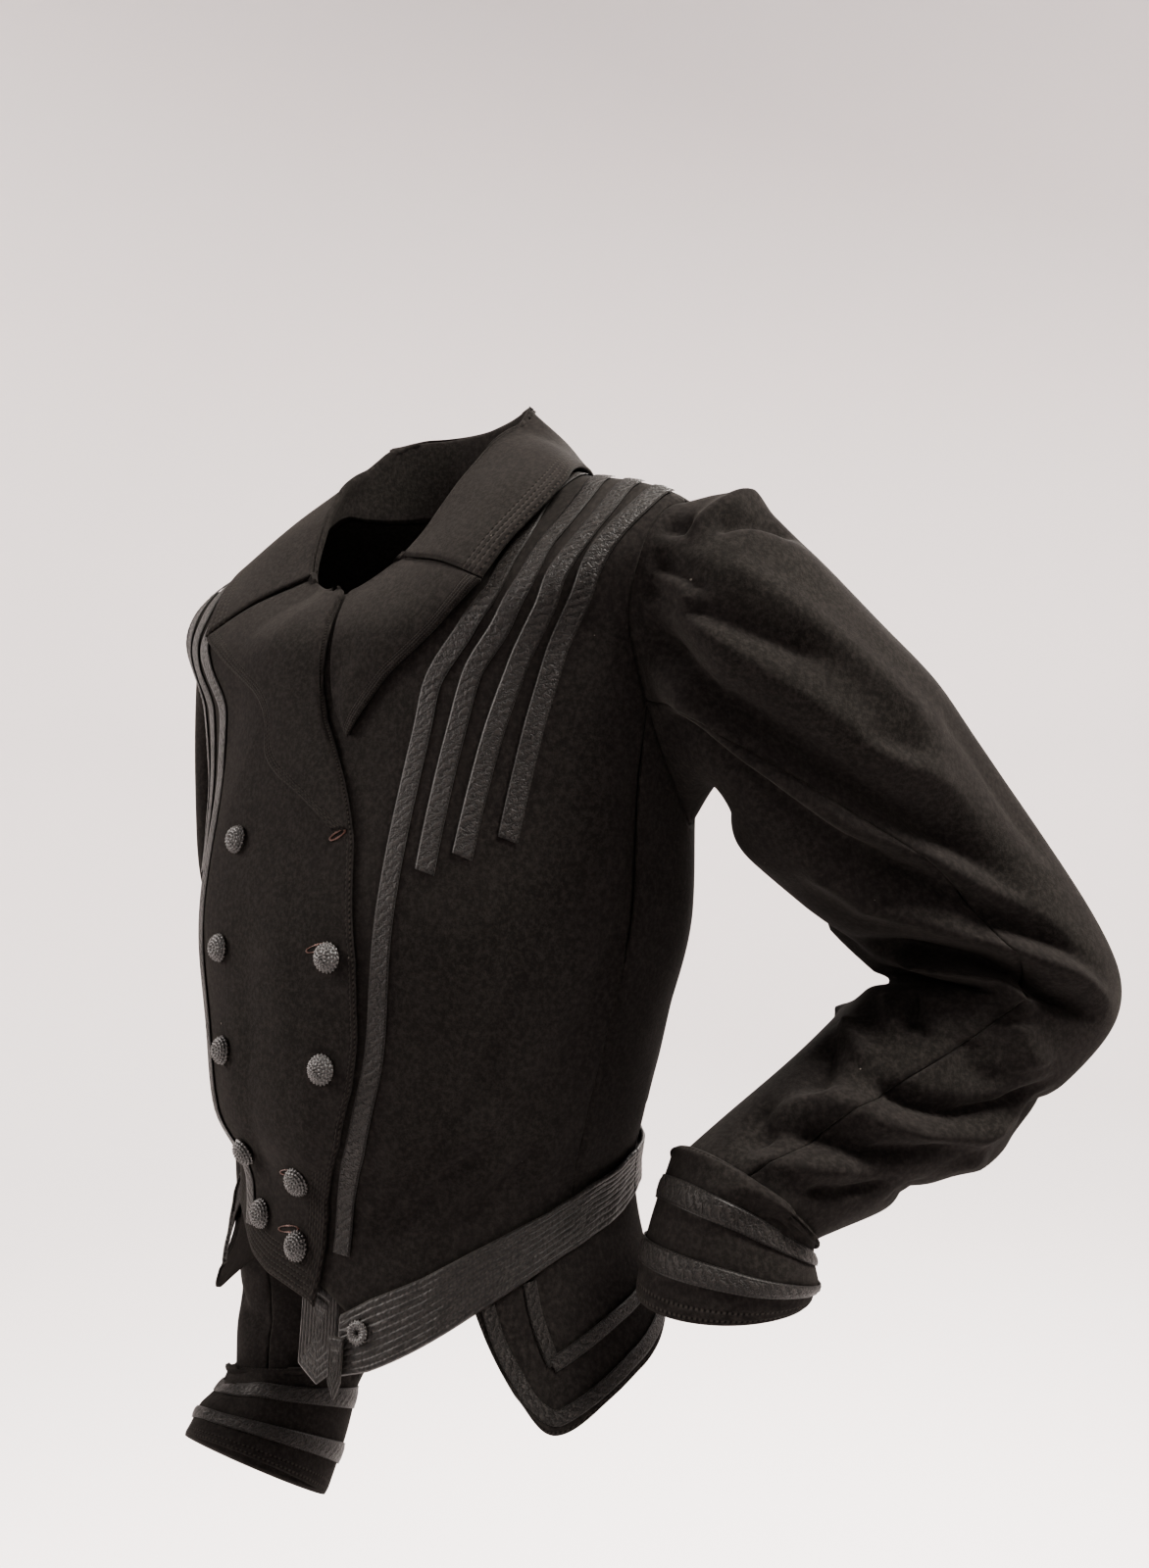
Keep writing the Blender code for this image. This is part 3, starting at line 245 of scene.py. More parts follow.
# A fold on a sleeve passes through points turn, s. height in mm, minus for a trough; spread in mm.
Fold = namedtuple("Fold", "height spread path")
LEFT_FOLDS = (
    Fold(-7.5, 8, ((82, 0.05), (96, 0.6), (107, 1.06), (110, 1.76), (108, 2.74), (97, 3.40))),
    Fold(5.0, 9, ((103, 0.22), (122, 1.36), (124, 2.28), (112, 3.28), (86, 3.80))),
    Fold(-6.5, 7, ((126, 0.35), (134, 1.72), (132, 2.86), (112, 3.50), (81, 3.96))),
    Fold(5.0, 8, ((149, 2.2), (151, 3.10), (130, 3.60), (77, 4.20))),
    Fold(-8.5, 6.5, ((187, 3.50), (160, 3.62), (134, 3.80), (112, 4.22), (80, 4.40))),
    Fold(6.5, 6, ((175, 3.74), (152, 3.92), (128, 4.08), (114, 4.50))),
    Fold(-5.0, 4, ((195, 3.86), (168, 4.10), (150, 4.22), (136, 4.28))),
    Fold(3.0, 8, ((78, 0.5), (88, 1.2), (91, 2.0), (86, 2.8))),
    Fold(-3.0, 5, ((78, 0.70), (76, 1.14), (70, 1.55))),
    Fold(2.5, 8, ((56, 0.9), (61, 1.5), (70, 2.2))),
    Fold(-2.8, 4.5, ((48, 0.06), (58, 0.45), (68, 0.90))),
    Fold(-2.6, 4, ((31, 0.04), (31, 0.22), (31, 0.42))),
    Fold(-2.4, 4, ((62, 0.05), (70, 0.35), (76, 0.65))),
    Fold(-3.2, 4.5, ((36, 0.70), (25, 0.95), (12, 1.20))),
    Fold(3.0, 9, ((40, 0.45), (20, 0.75), (-5, 0.9))),
    Fold(-2.0, 6, ((89, 1.80), (86, 2.0), (82, 2.25))),
    Fold(-2.0, 10, ((52, 2.2), (58, 2.9), (64, 3.4))),
    Fold(-3.0, 3.5, ((163, 4.80), (152, 5.15), (142, 5.50))),  # pinched at the forearm seam
    Fold(2.2, 5, ((172, 5.0), (158, 5.35), (148, 5.6))),
    Fold(-2.2, 3, ((145, 5.25), (139, 5.36), (133, 5.46))),
    Fold(4.5, 8, ((148, 6.56), (135, 6.34), (107, 6.24), (85, 6.08), (66, 5.75), (66, 5.38))),
    Fold(-5.0, 5.5, ((128, 6.08), (103, 5.98), (85, 5.80), (72, 5.50), (66, 5.15))),
    Fold(-4.5, 5.5, ((134, 6.62), (115, 6.50), (92, 6.38), (74, 6.06), (66, 5.9))),
    Fold(-3.4, 5, ((172, 6.00), (150, 6.22), (136, 6.34))),
    Fold(3.0, 6, ((178, 5.65), (160, 5.85), (138, 6.0))),
    Fold(-3.0, 5, ((160, 6.56), (145, 6.68), (130, 6.72))),
    Fold(3.2, 6, ((130, 6.84), (105, 6.72), (82, 6.50))),
    Fold(-2.8, 4.5, ((62, 6.40), (75, 6.66), (90, 6.80))),
    Fold(2.4, 9, ((110, 4.75), (95, 5.0), (80, 5.1))),
    Fold(-2.2, 8, ((120, 5.2), (104, 5.45), (86, 5.4))),
    Fold(-3.5, 8, ((20, 5.0), (38, 5.3), (60, 5.3))),
    Fold(3.0, 8, ((10, 5.5), (32, 5.8), (56, 5.9))),
    Fold(-3.0, 7, ((5, 6.1), (30, 6.25), (52, 6.3))),
    Fold(-5.0, 9, ((285, 0.15), (276, 1.0), (268, 2.2), (258, 3.1))),  # hidden side
    Fold(3.5, 9, ((262, 0.5), (252, 1.4), (246, 2.6))),
    Fold(-4.5, 8, ((240, 0.6), (232, 1.8), (226, 3.0), (205, 3.6))),
    Fold(3.0, 8, ((232, 3.3), (215, 3.8), (200, 4.05))),
    Fold(-3.2, 8, ((250, 4.2), (228, 4.5), (205, 4.6))),
    Fold(3.0, 9, ((262, 5.0), (240, 5.3), (215, 5.4))),
    Fold(-3.5, 8, ((275, 5.6), (250, 5.9), (222, 6.1))),
    Fold(2.8, 8, ((290, 6.1), (262, 6.3), (232, 6.5))),
    Fold(-2.6, 7, ((300, 6.5), (272, 6.7), (245, 6.8))),
)
RIGHT_FOLDS = (
    Fold(-5.5, 9, ((76, 0.08), (88, 0.9), (92, 1.9), (84, 3.1))),
    Fold(3.5, 9, ((100, 0.4), (112, 1.3), (108, 2.6))),
    Fold(-4.5, 8, ((124, 0.5), (130, 1.6), (120, 2.8), (98, 3.6))),
    Fold(-3.5, 8, ((150, 3.6), (122, 4.0), (88, 4.1))),
    Fold(3.0, 8, ((155, 4.1), (125, 4.5), (90, 4.6))),
    Fold(-2.6, 7, ((150, 4.8), (120, 5.1), (85, 5.1))),
    Fold(-2.6, 5, ((48, 0.06), (58, 0.5), (66, 0.9))),
    Fold(-2.4, 4, ((28, 0.04), (30, 0.4))),
    Fold(-3.0, 5, ((30, 0.8), (14, 1.1), (-6, 1.2))),
    Fold(-4.5, 9, ((284, 0.15), (276, 1.1), (270, 2.2), (262, 3.2))),
    Fold(3.2, 9, ((258, 0.6), (250, 1.6), (246, 2.8))),
    Fold(-3.6, 8, ((238, 0.6), (230, 1.7), (224, 3.0))),
    Fold(-3.2, 8, ((285, 4.1), (258, 4.4), (225, 4.5))),
    Fold(3.0, 8, ((290, 4.8), (262, 5.1), (228, 5.2))),
    Fold(-2.8, 8, ((296, 5.5), (268, 5.8), (235, 5.9))),
    Fold(2.4, 8, ((60, 5.8), (92, 6.1), (125, 6.2))),
    Fold(-2.4, 7, ((50, 6.3), (86, 6.5), (120, 6.6))),
)
RING_MM, ARM_MM_PER_S = 0.88, 62.0  # mm per degree round the arm, and mm per s along it
SLEEVE_MM = np.array([RING_MM, ARM_MM_PER_S])
FOLD_STRENGTH = 2.0
CUFF_FOLDS = (  # at counts the cuff's four rings from the top
    Fold(2.6, 7, ((40, 0.9), (75, 0.7), (110, 1.0), (140, 1.5))),
    Fold(-2.4, 5, ((55, 1.5), (85, 1.3), (118, 1.6))),
    Fold(1.8, 6, ((20, 2.2), (60, 2.1), (100, 2.4))),
    Fold(-1.8, 6, ((200, 0.8), (235, 1.3), (270, 2.0))),
    Fold(1.8, 7, ((230, 0.7), (262, 1.2), (300, 1.8))),
)
CUFF_MM = np.array([0.75, 15.0])
CUFF_CRINKLES = 48
CUFF_INNER_ROWS = 10  # of its inner layer, from its fold at the free end back to the sleeve
GATHER_DEPTH, GATHER_REACH, GATHER_HALF_ANGLE, GATHER_WAVE = 3.2 * MM, 0.5, 75, 75

Arm = namedtuple("Arm", "side sign sections folds cuff")
ARMS = (
    Arm("left", 1, LEFT_SLEEVE, LEFT_FOLDS, LEFT_CUFF),
    Arm("right", -1, RIGHT_SLEEVE, RIGHT_FOLDS, RIGHT_CUFF),
)

# Curves and the torso form

LEVEL_CURVE = 1.5  # power of the cosine by which a level drops in front and rises behind
LIFT_FROM, LIFT_OVER = 16, 12  # degrees past the left front's edge to the lift's start, and its growth
CREASE_STRENGTH, CREASE_SHARP = 1.3, 1.6
CREASE_ENDS, CREASE_LEAST = 5, 0.25  # how fast a crease grows from its ends, and its share there
WAVE_SHIFT = 1.7  # radians between the waves of one ripple
ARMHOLE_STEP = 20  # degrees of turn between rows of ARMHOLE
SHOULDER_ANGLE, SHOULDER_LEVEL, ALMOST_ROUND = 90.0, 1, 359.99


def smooth(rows, at):
    """The rows of a table as a smooth curve through them, read at row numbers."""
    rows = np.asarray(rows, float)
    last = len(rows) - 1
    at = np.clip(np.asarray(at, float), 0, last)
    row = np.minimum(at.astype(int), last - 1)
    gone = (at - row).reshape(at.shape + (1,) * (rows.ndim - 1))
    start, end = rows[row], rows[row + 1]
    first = (row == 0).reshape(gone.shape)
    final = (row + 2 > last).reshape(gone.shape)
    leave = np.where(first, end - start, (end - rows[np.maximum(row - 1, 0)]) / 2)
    arrive = np.where(final, end - start, (rows[np.minimum(row + 2, last)] - start) / 2)
    cube, square = gone**3, gone**2
    return (
        (2 * cube - 3 * square + 1) * start
        + (cube - 2 * square + gone) * leave
        + (3 * square - 2 * cube) * end
        + (cube - square) * arrive
    )


def follow(table, at):
    """Second column of a two-column table, at values of its first."""
    first, second = np.array(table, float).T
    return np.interp(at, first, second)


def unit(vectors):
    return vectors / np.linalg.norm(vectors, axis=-1, keepdims=True)


def power(value, exponent):
    return np.sign(value) * abs(value) ** exponent


def near_angle(angle, middle=0):
    """The same angle, within half a turn of the middle."""
    return (np.asarray(angle, float) - middle + 180) % 360 - 180 + middle


def from_front(a):
    return abs(near_angle(a))


def form(a, t):
    """Points of the torso form."""
    a, t = np.broadcast_arrays(np.asarray(a, float), np.asarray(t, float))
    side_z, drop, rise, width, front, back, centre, turn = np.moveaxis(smooth(LEVELS, t), -1, 0)
    sine, cosine = np.sin(np.radians(a)), np.cos(np.radians(a))
    ahead = cosine > 0
    x = width * power(sine, 2 / SQUARE)
    y = centre - np.where(ahead, front, back) * power(cosine, 2 / SQUARE)
    z = side_z + np.where(ahead, -drop, rise) * abs(cosine) ** LEVEL_CURVE
    across = ((from_front(a) - BUST_ANGLE) / BUST_SPREAD) ** 2
    y = y - BUST_HEIGHT * np.exp(-across - (t - BUST_LEVEL) ** 2)
    turn = np.radians(turn)
    return np.stack([x * np.cos(turn) - y * np.sin(turn), x * np.sin(turn) + y * np.cos(turn), z], -1)


def outward(a, t):
    """The way out of the torso form."""
    step_a, step_t = 0.5, 0.01
    top = np.minimum(t + step_t, len(LEVELS) - 1)
    low = np.maximum(t - step_t, 0)
    return unit(np.cross(form(a, top) - form(a, low), form(a + step_a, t) - form(a - step_a, t)))


def on_form(a, t, off=0.0):
    a, t = np.broadcast_arrays(np.asarray(a, float), np.asarray(t, float))
    return form(a, t) + outward(a, t) * np.asarray(off)[..., None]


def overlap_edge(t):
    return follow(OVERLAP_EDGE, t)


def lift(a, t):
    """How far the right front stands off the form."""
    return FRONT_LIFT * np.clip((a + overlap_edge(t) + LIFT_FROM) / LIFT_OVER, 0, 1)


def near_path(x, y, path):
    """Distance from a path of straight runs, and the share of the way along it."""
    lengths = np.hypot(*np.diff(path, axis=0).T)
    nearest, share, gone = np.full(x.shape, np.inf), np.zeros(x.shape), 0.0
    for (x0, y0), (x1, y1), length in zip(path, path[1:], lengths):
        held = np.clip(((x - x0) * (x1 - x0) + (y - y0) * (y1 - y0)) / length**2, 0, 1)
        far = np.hypot(x - x0 - held * (x1 - x0), y - y0 - held * (y1 - y0))
        share = np.where(far < nearest, (gone + held * length) / lengths.sum(), share)
        nearest = np.minimum(far, nearest)
        gone += length
    return nearest, share


def crease_height(x, y, creases, mm_each, strength=CREASE_STRENGTH):
    """Height in metres of creases whose paths are in the units of x, degrees round, and y; mm_each is the
    length of one unit of each."""
    x, y = np.broadcast_arrays(np.asarray(x, float), np.asarray(y, float))
    total = np.zeros(x.shape)
    for crease in creases:
        path = np.array(crease.path, float)
        near = near_angle(x, path[:, 0].mean())
        far, share = near_path(near * mm_each[0], y * mm_each[1], path * mm_each)
        ends = np.clip(np.minimum(share, 1 - share) * CREASE_ENDS + CREASE_LEAST, 0, 1)
        total += strength * crease.height * MM * ends * np.exp(-((far / crease.spread) ** CREASE_SHARP))
    return total


def ripple(*waves):
    """A gentle unevenness of cloth from a few sine waves: pairs of a position and its number of waves."""
    total = 0
    for index, (position, count) in enumerate(waves):
        total = total + np.sin(position * count * 2 * np.pi + index * WAVE_SHIFT)
    return total / len(waves)


# How cloth turns down towards a seam or an edge: from how far off, and how deep, in mm.
Dip = namedtuple("Dip", "reach depth")
SEAM, INNER_SEAM, FREE_SEAM, FREE_EDGE = Dip(2.6, 1.0), Dip(2.6, 0.7), Dip(1.3, 0.7), Dip(1.3, 0.5)
TURNED_EDGE, TURNED_END, PEPLUM_EDGE = Dip(2.0, 0.9), Dip(1.2, 0.4), Dip(1.6, 0.7)
BELT_EDGE, BELT_END, PLATE_EDGE = Dip(1.5, 0.8), Dip(1.5, 0.6), Dip(1.2, 0.7)
SLEEVE_SEAM, CUFF_EDGE = Dip(2.4, 0.9), Dip(2.0, 1.0)


def edge_dip(distance, dip):
    """How much lower the cloth is, by distance from its edge in mm."""
    return -dip.depth * MM * (1 - np.clip(distance / dip.reach, 0, 1)) ** 2


def ease(value):
    """A soft step from 0 to 1."""
    value = np.clip(value, 0, 1)
    return value * value * (3 - 2 * value)


def edge_shares(count, eased=0.6):
    """Shares from 0 to 1, closer together at both ends."""
    even = np.linspace(0, 1, count)
    return even * (1 - eased) + (1 - np.cos(even * np.pi)) / 2 * eased


def armhole_part(first, last, count=160):
    turns = np.linspace(first, last, count)
    return smooth([(row.a, row.t) for row in ARMHOLE], turns / ARMHOLE_STEP)


FRONT_ARMHOLE = armhole_part(0, FRONT_SEAM_TURN)
BACK_ARMHOLE = armhole_part(ALMOST_ROUND, BACK_SEAM_TURN)


def outer_edge(t, armhole, side_seam):
    """A front's or back's edge: shoulder seam, then armhole, then side seam."""
    at_armhole = np.interp(t, armhole[:, 1], armhole[:, 0])
    below = np.where(t < armhole[-1, 1], at_armhole, follow(side_seam, t))
    return np.where(t <= SHOULDER_LEVEL, SHOULDER_ANGLE, below)


def front_outer(t):
    return outer_edge(t, FRONT_ARMHOLE, FRONT_SIDE_SEAM)


def back_outer(t):
    return outer_edge(t, BACK_ARMHOLE, BACK_SIDE_SEAM)


# Meshes


def grid_faces(rows, columns, closed, flip):
    i, j = np.meshgrid(np.arange(rows - 1), np.arange(columns if closed else columns - 1), indexing="ij")
    k = (j + 1) % columns
    faces = np.stack([i * columns + j, (i + 1) * columns + j, (i + 1) * columns + k, i * columns + k], -1)
    return faces.reshape(-1, 4)[:, ::-1] if flip else faces.reshape(-1, 4)


def linked(name, data):
    """A new object in the scene that shows this data."""
    made = bpy.data.objects.new(name, data)
    bpy.context.scene.collection.objects.link(made)
    return made


def smooth_mesh(name, points, faces, material):
    mesh = bpy.data.meshes.new(name)
    mesh.from_pydata(np.asarray(points).tolist(), [], [tuple(map(int, face)) for face in faces])
    mesh.polygons.foreach_set("use_smooth", np.ones(len(mesh.polygons), bool))
    mesh.materials.append(material)
    return mesh


def new_object(name, points, faces, slot, node=None, marks=None):
    """A smooth mesh that rides on the body and stands for a CAD node. marks are its attributes."""
    mesh = smooth_mesh(name, points, faces, MATERIALS[slot])
    for mark, values in (marks or {}).items():
        values = np.broadcast_to(np.asarray(values, float), len(points)).astype(np.float32)
        mesh.attributes.new(mark, "FLOAT", "POINT").data.foreach_set("value", values)
    thing = linked(name, mesh)
    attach(thing, "root")
    if node:
        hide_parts(node)
    return thing


def cloth(node, kind, grids, slot="wool", thick=CLOTH, closed=False, flip=False, **marks):
    """Cloth for a node on a grid of points, or on several, which are its outer side."""
    grids = grids if isinstance(grids, list) else [grids]
    points, faces, start = [], [], 0
    for grid in grids:
        rows, columns = grid.shape[:2]
        points.append(grid.reshape(-1, 3))
        faces.append(grid_faces(rows, columns, closed, flip) + start)
        start += rows * columns
    spread = {}
    for mark, values in marks.items():
        values = values if isinstance(values, list) else [values]
        shaped = [np.broadcast_to(value, grid.shape[:2]).ravel() for value, grid in zip(values, grids)]
        spread[mark] = np.concatenate(shaped)
    thing = new_object(f"{node}_{kind}", np.concatenate(points), np.concatenate(faces), slot, node, spread)
    wall = thing.modifiers.new("wall", "SOLIDIFY")
    wall.thickness = thick
    wall.offset = -1
    wall.use_even_offset = False


def grid_normals(grid, closed=False, flip=False):
    """The way out of each point of a grid."""
    down = np.gradient(grid, axis=0)
    if closed:
        across = (np.roll(grid, -1, axis=1) - np.roll(grid, 1, axis=1)) / 2
    else:
        across = np.gradient(grid, axis=1)
    out = unit(np.cross(down, across))
    return -out if flip else out


# The body of the jacket

BODY_LEVELS = np.unique(np.concatenate([
    np.linspace(0, 0.96, 16), np.linspace(0.98, 1.3, 14), np.linspace(1.34, 3.3, 40),
    np.linspace(3.36, 6.2, 52),
]))
SIDE_OVERLAP, BACK_OVERLAP = 0.4, 0.3  # degrees
HEM_ROWS, BODY_COLUMNS, SIDE_COLUMNS, SIDE_ROWS = 34, 82, 28, 70
STITCH_MM = 1.8  # between rows of stitching
FRONT_STITCHES, WAIST_STITCHES, WAIST_STITCH_LEVEL = 2, 7, 6.5  # rows along the overlap's edge
BODY_WAVES, SIDE_WAVES = 0.4 * MM, 0.7 * MM
FREE_FRONT_ANGLE, FREE_SIDE_ANGLE, LEFT_FREE_ANGLE = 12, -82, 38  # where the front hems hang free
SIDE_LOW_LEVEL = 7.05  # about where the side pieces end
SIDE_SETTLE, TOP_POINTS = 3, 400


def hem_level(a, right):
    behind_belt = follow(BELT_TOP, from_front(a)) + HEM_UNDER_BELT
    if right:
        free = np.where(a < FREE_FRONT_ANGLE, follow(RIGHT_HEM, -a), RIGHT_HEM[0].t)
        return np.where(a > FREE_SIDE_ANGLE, free, behind_belt)
    return np.where(abs(a) < LEFT_FREE_ANGLE, follow(LEFT_HEM, a), behind_belt)


def panel_grid(inner, outer, right, across):
    """Angles and levels of a panel, whose last rows spread out to the slanting hem."""
    base = BODY_LEVELS[:, None] + np.zeros(len(across))
    start = BODY_LEVELS[-1]
    hem = np.full(len(across), start + 1.0)
    for _ in range(4):
        a = inner(hem) + (outer(hem) - inner(hem)) * across
        hem = hem_level(a, right)
    down = np.linspace(0, 1, HEM_ROWS)[1:, None]
    t = np.concatenate([base, start + (hem - start) * down])
    first, last = inner(t), outer(t)
    return first + (last - first) * across, t


def gap_mm(a, edge):
    """Rough distance in mm between an angle and an edge at the same level."""
    return abs(a - edge) * MM_PER_DEGREE


def along_mm(a, t):
    """A measure for stitches, which grows along any seam of the body."""
    return a * MM_PER_DEGREE + t * MM_PER_LEVEL


def panel_height(a, t, creases):
    """How far a body panel's outer side is off the form, without what the right front adds."""
    waves = ripple((a / 90, 2.1), (t / 8, 3.3), (a / 90 + t / 5, 2.7))
    return CLOTH + crease_height(a, t, creases, TORSO_MM) + BODY_WAVES * waves


def panel(name, inner, outer, right, creases, free=False):
    a, t = panel_grid(inner, outer, right, edge_shares(BODY_COLUMNS))
    height = panel_height(a, t, creases) + edge_dip(gap_mm(a, outer(t)), SEAM)
    height = height + edge_dip(gap_mm(a, inner(t)), FREE_SEAM if free else INNER_SEAM)
    far = np.minimum(gap_mm(a, inner(t)), (hem_level(a, right) - t) * MM_PER_LEVEL)
    rows = 0
    if free:
        height = height + lift(a, t) + edge_dip(far, FREE_EDGE)
        rows = np.where(t > WAIST_STITCH_LEVEL, WAIST_STITCHES, FRONT_STITCHES)
    cloth(name, "cloth", on_form(a, t, height), flip=name.endswith("right"), row=far / STITCH_MM, rows=rows,
          along=along_mm(a, t))


def mirrored(creases):
    return [Crease(row.height, row.spread, [(-a, t) for a, t in row.path]) for row in creases]


def make_side(name, sign):
    """The piece under the arm: its columns start on the armhole."""
    across = edge_shares(SIDE_COLUMNS)
    top = armhole_part(FRONT_SEAM_TURN, BACK_SEAM_TURN, TOP_POINTS)
    top = np.stack([np.interp(across, np.linspace(0, 1, TOP_POINTS), column) for column in top.T], -1)
    down = np.linspace(0, 1, SIDE_ROWS)[:, None]
    t = top[:, 1] + (SIDE_LOW_LEVEL - top[:, 1]) * down
    straight = follow(FRONT_SIDE_SEAM, t) * (1 - across) + follow(BACK_SIDE_SEAM, t) * across
    t = top[:, 1] + (hem_level(straight, False) - top[:, 1]) * down
    first, last = follow(FRONT_SIDE_SEAM, t), follow(BACK_SIDE_SEAM, t)
    wanted = np.clip(top[:, 0], first, last)
    settled = np.minimum(1, down * SIDE_SETTLE)
    a = wanted + (first * (1 - across) + last * across - wanted) * settled
    a = a + (across * 2 - 1) * SIDE_OVERLAP * settled
    height = CLOTH + edge_dip(gap_mm(a, first), SEAM) + edge_dip(gap_mm(a, last), SEAM)
    height = height + SIDE_WAVES * ripple((t / 4, 2.1), (a / 30, 0.7), (t / 4 + a / 40, 1.6))
    cloth(name, "cloth", on_form(sign * a, t, height), flip=sign < 0)


def make_body():
    panel("front_left", lambda t: -overlap_edge(t), front_outer, False, LEFT_CREASES)
    panel("front_right", overlap_edge, lambda t: -front_outer(t), True, RIGHT_CREASES, free=True)
    panel("back_left", back_outer, lambda t: 180.0 + BACK_OVERLAP + 0 * t, False, BACK_CREASES)
    panel("back_right", lambda t: -back_outer(t), lambda t: -180.0 + 0 * t, False, mirrored(BACK_CREASES))
    for side, sign in SIDES:
        make_side(f"side_{side}", sign)


# Collar and lapels

COLLAR_CONTROLS, COLLAR_LINES, COLLAR_ROWS, COLLAR_FOLD_ROW, COLLAR_EDGE_ROW = 33, 170, 46, 3, 6
COLLAR_THICK, COLLAR_OFF, COLLAR_WAVES, COLLAR_BULGE = 1.5 * MM, 1.2 * MM, 0.9 * MM, 2.0 * MM
SEAM_IN, SEAM_UP = 1.0 * MM, 0.6 * MM  # where the collar starts inside the neck
FOLD_MID, FOLD_IN_DOWN, FOLD_OUT_DOWN = 0.35, 0.8, 0.9  # the collar's roll, in shares of its size
COLLAR_WIDTH_MM, COLLAR_MM_PER_CONTROL, COLLAR_STITCH_MM = 90, 9.5, 14
LAPEL_ROWS, LAPEL_COLUMNS, LAPEL_MM, LAPEL_STITCH_MM = 84, 34, 90, 190
LAPEL_BULGE, LAPEL_WAVES, LAPEL_SEWN, LAPEL_TUCK = 1.1 * MM, 0.7 * MM, 0.35, 0.5 * MM
LAPEL_RISE, LAPEL_FULL_MM, LAPEL_WAY_ROW, ROLL_WAY_COLUMN = 1.5, 40, 6, 3
LAPEL_WAVE_COUNTS = {"left": 1.1, "right": 1.5}
NECK_ROLL, FRONT_ROLL, NECK_ROLL_LEVEL = 1.9, 1.2, 0.2  # radii in mm
ROLL_TURNS, ROLL_UNDER = np.radians(np.arange(170, 0, -20)), 3.0 * MM
EDGE_STITCHES, NO_STITCH = 4, 99.0
RELIEF, RELIEF_MM = 0.5 * MM, 3.4


def collar_row(turn):
    """Points across the collar at one place, from its seam up to the fold and down to its edge."""
    columns = np.array(COLLAR, float)
    ends = np.array([COLLAR_END_SEAM, COLLAR_END_FOLD, COLLAR_END_EDGE])
    a_seam, a_fold, a_edge = (ends + (180 - ends) * (1 - abs(turn))) * (1 if turn < 0 else -1)
    fold, edge = (
        Rail(*[np.interp(abs(angle), columns[:, 0], column) for column in columns.T])
        for angle in (a_fold, a_edge)
    )
    way = np.radians(a_fold)
    away, up = np.array([np.sin(way), -np.cos(way), 0]), np.array([0, 0, 1.0])
    seam = form(a_seam, 0) - away * SEAM_IN + up * SEAM_UP
    top = form(a_fold, 0) + away * fold.fold_out * MM + up * fold.fold_up * MM
    low = on_form(a_edge, edge.edge_t, edge.edge_off * MM + lift(a_edge, edge.edge_t))
    inside = top - up * COLLAR_ROLL * FOLD_IN_DOWN
    outside = top + away * COLLAR_ROLL - up * COLLAR_ROLL * FOLD_OUT_DOWN
    middle = (outside + low) / 2 + (away + up) * COLLAR_BULGE
    return [seam, (seam + inside) / 2, inside, top + away * COLLAR_ROLL * FOLD_MID, outside, middle, low]


def make_collar():
    """Returns the collar's two front ends, from the fold to the edge, which the lapels are sewn to."""
    controls = np.array([collar_row(turn) for turn in np.linspace(-1, 1, COLLAR_CONTROLS)])
    along = edge_shares(COLLAR_LINES, 0.3) * (len(controls) - 1)
    across = np.linspace(0, 1, COLLAR_ROWS)
    lines = np.swapaxes(smooth(controls, along), 0, 1)
    grid = np.swapaxes(smooth(lines, across * COLLAR_EDGE_ROW), 0, 1)
    to_edge = (1 - across)[None, :] * COLLAR_WIDTH_MM
    end = np.minimum(along, along[-1] - along)[:, None] * COLLAR_MM_PER_CONTROL
    round_neck = along[:, None] / (COLLAR_CONTROLS - 1)
    waves = ripple((round_neck, 3.3), (across[None, :], 1.4), (round_neck + across[None, :], 2.2))
    height = COLLAR_OFF + COLLAR_WAVES * waves + edge_dip(to_edge, TURNED_EDGE) + edge_dip(end, TURNED_END)
    grid = grid + grid_normals(grid, flip=True) * height[..., None]
    cloth("collar", "cloth", grid, thick=COLLAR_THICK, flip=True, row=to_edge / STITCH_MM + 0 * end,
          rows=EDGE_STITCHES, along=along[:, None] * COLLAR_STITCH_MM)
    share = np.linspace(COLLAR_FOLD_ROW, COLLAR_EDGE_ROW, LAPEL_COLUMNS)
    return smooth(controls[0], share), smooth(controls[-1], share)


def tape_relief(a, t):
    """The tapes under the right lapel, which show through it as low ridges."""
    total = 0
    for tape in TAPES:
        line = follow(sorted((row.t, row.a) for row in tape.path), t)
        total = total + RELIEF * np.exp(-((gap_mm(a, line) / RELIEF_MM) ** 4))
    return total


def rolled(grid, out, far, radius):
    """The grid with columns added at its first edge, which roll over and come back underneath."""
    inner = grid[:, 0]
    ahead = unit(inner - grid[:, ROLL_WAY_COLUMN])
    columns = [
        inner + radius[:, None] * (ahead * np.sin(turn) - out * (1 - np.cos(turn))) for turn in ROLL_TURNS
    ]
    added = np.stack([columns[0] - ahead * ROLL_UNDER, *columns], 1)
    far = np.concatenate([np.full(added.shape[:2], NO_STITCH), far], 1)
    return np.concatenate([added, grid], 1), far


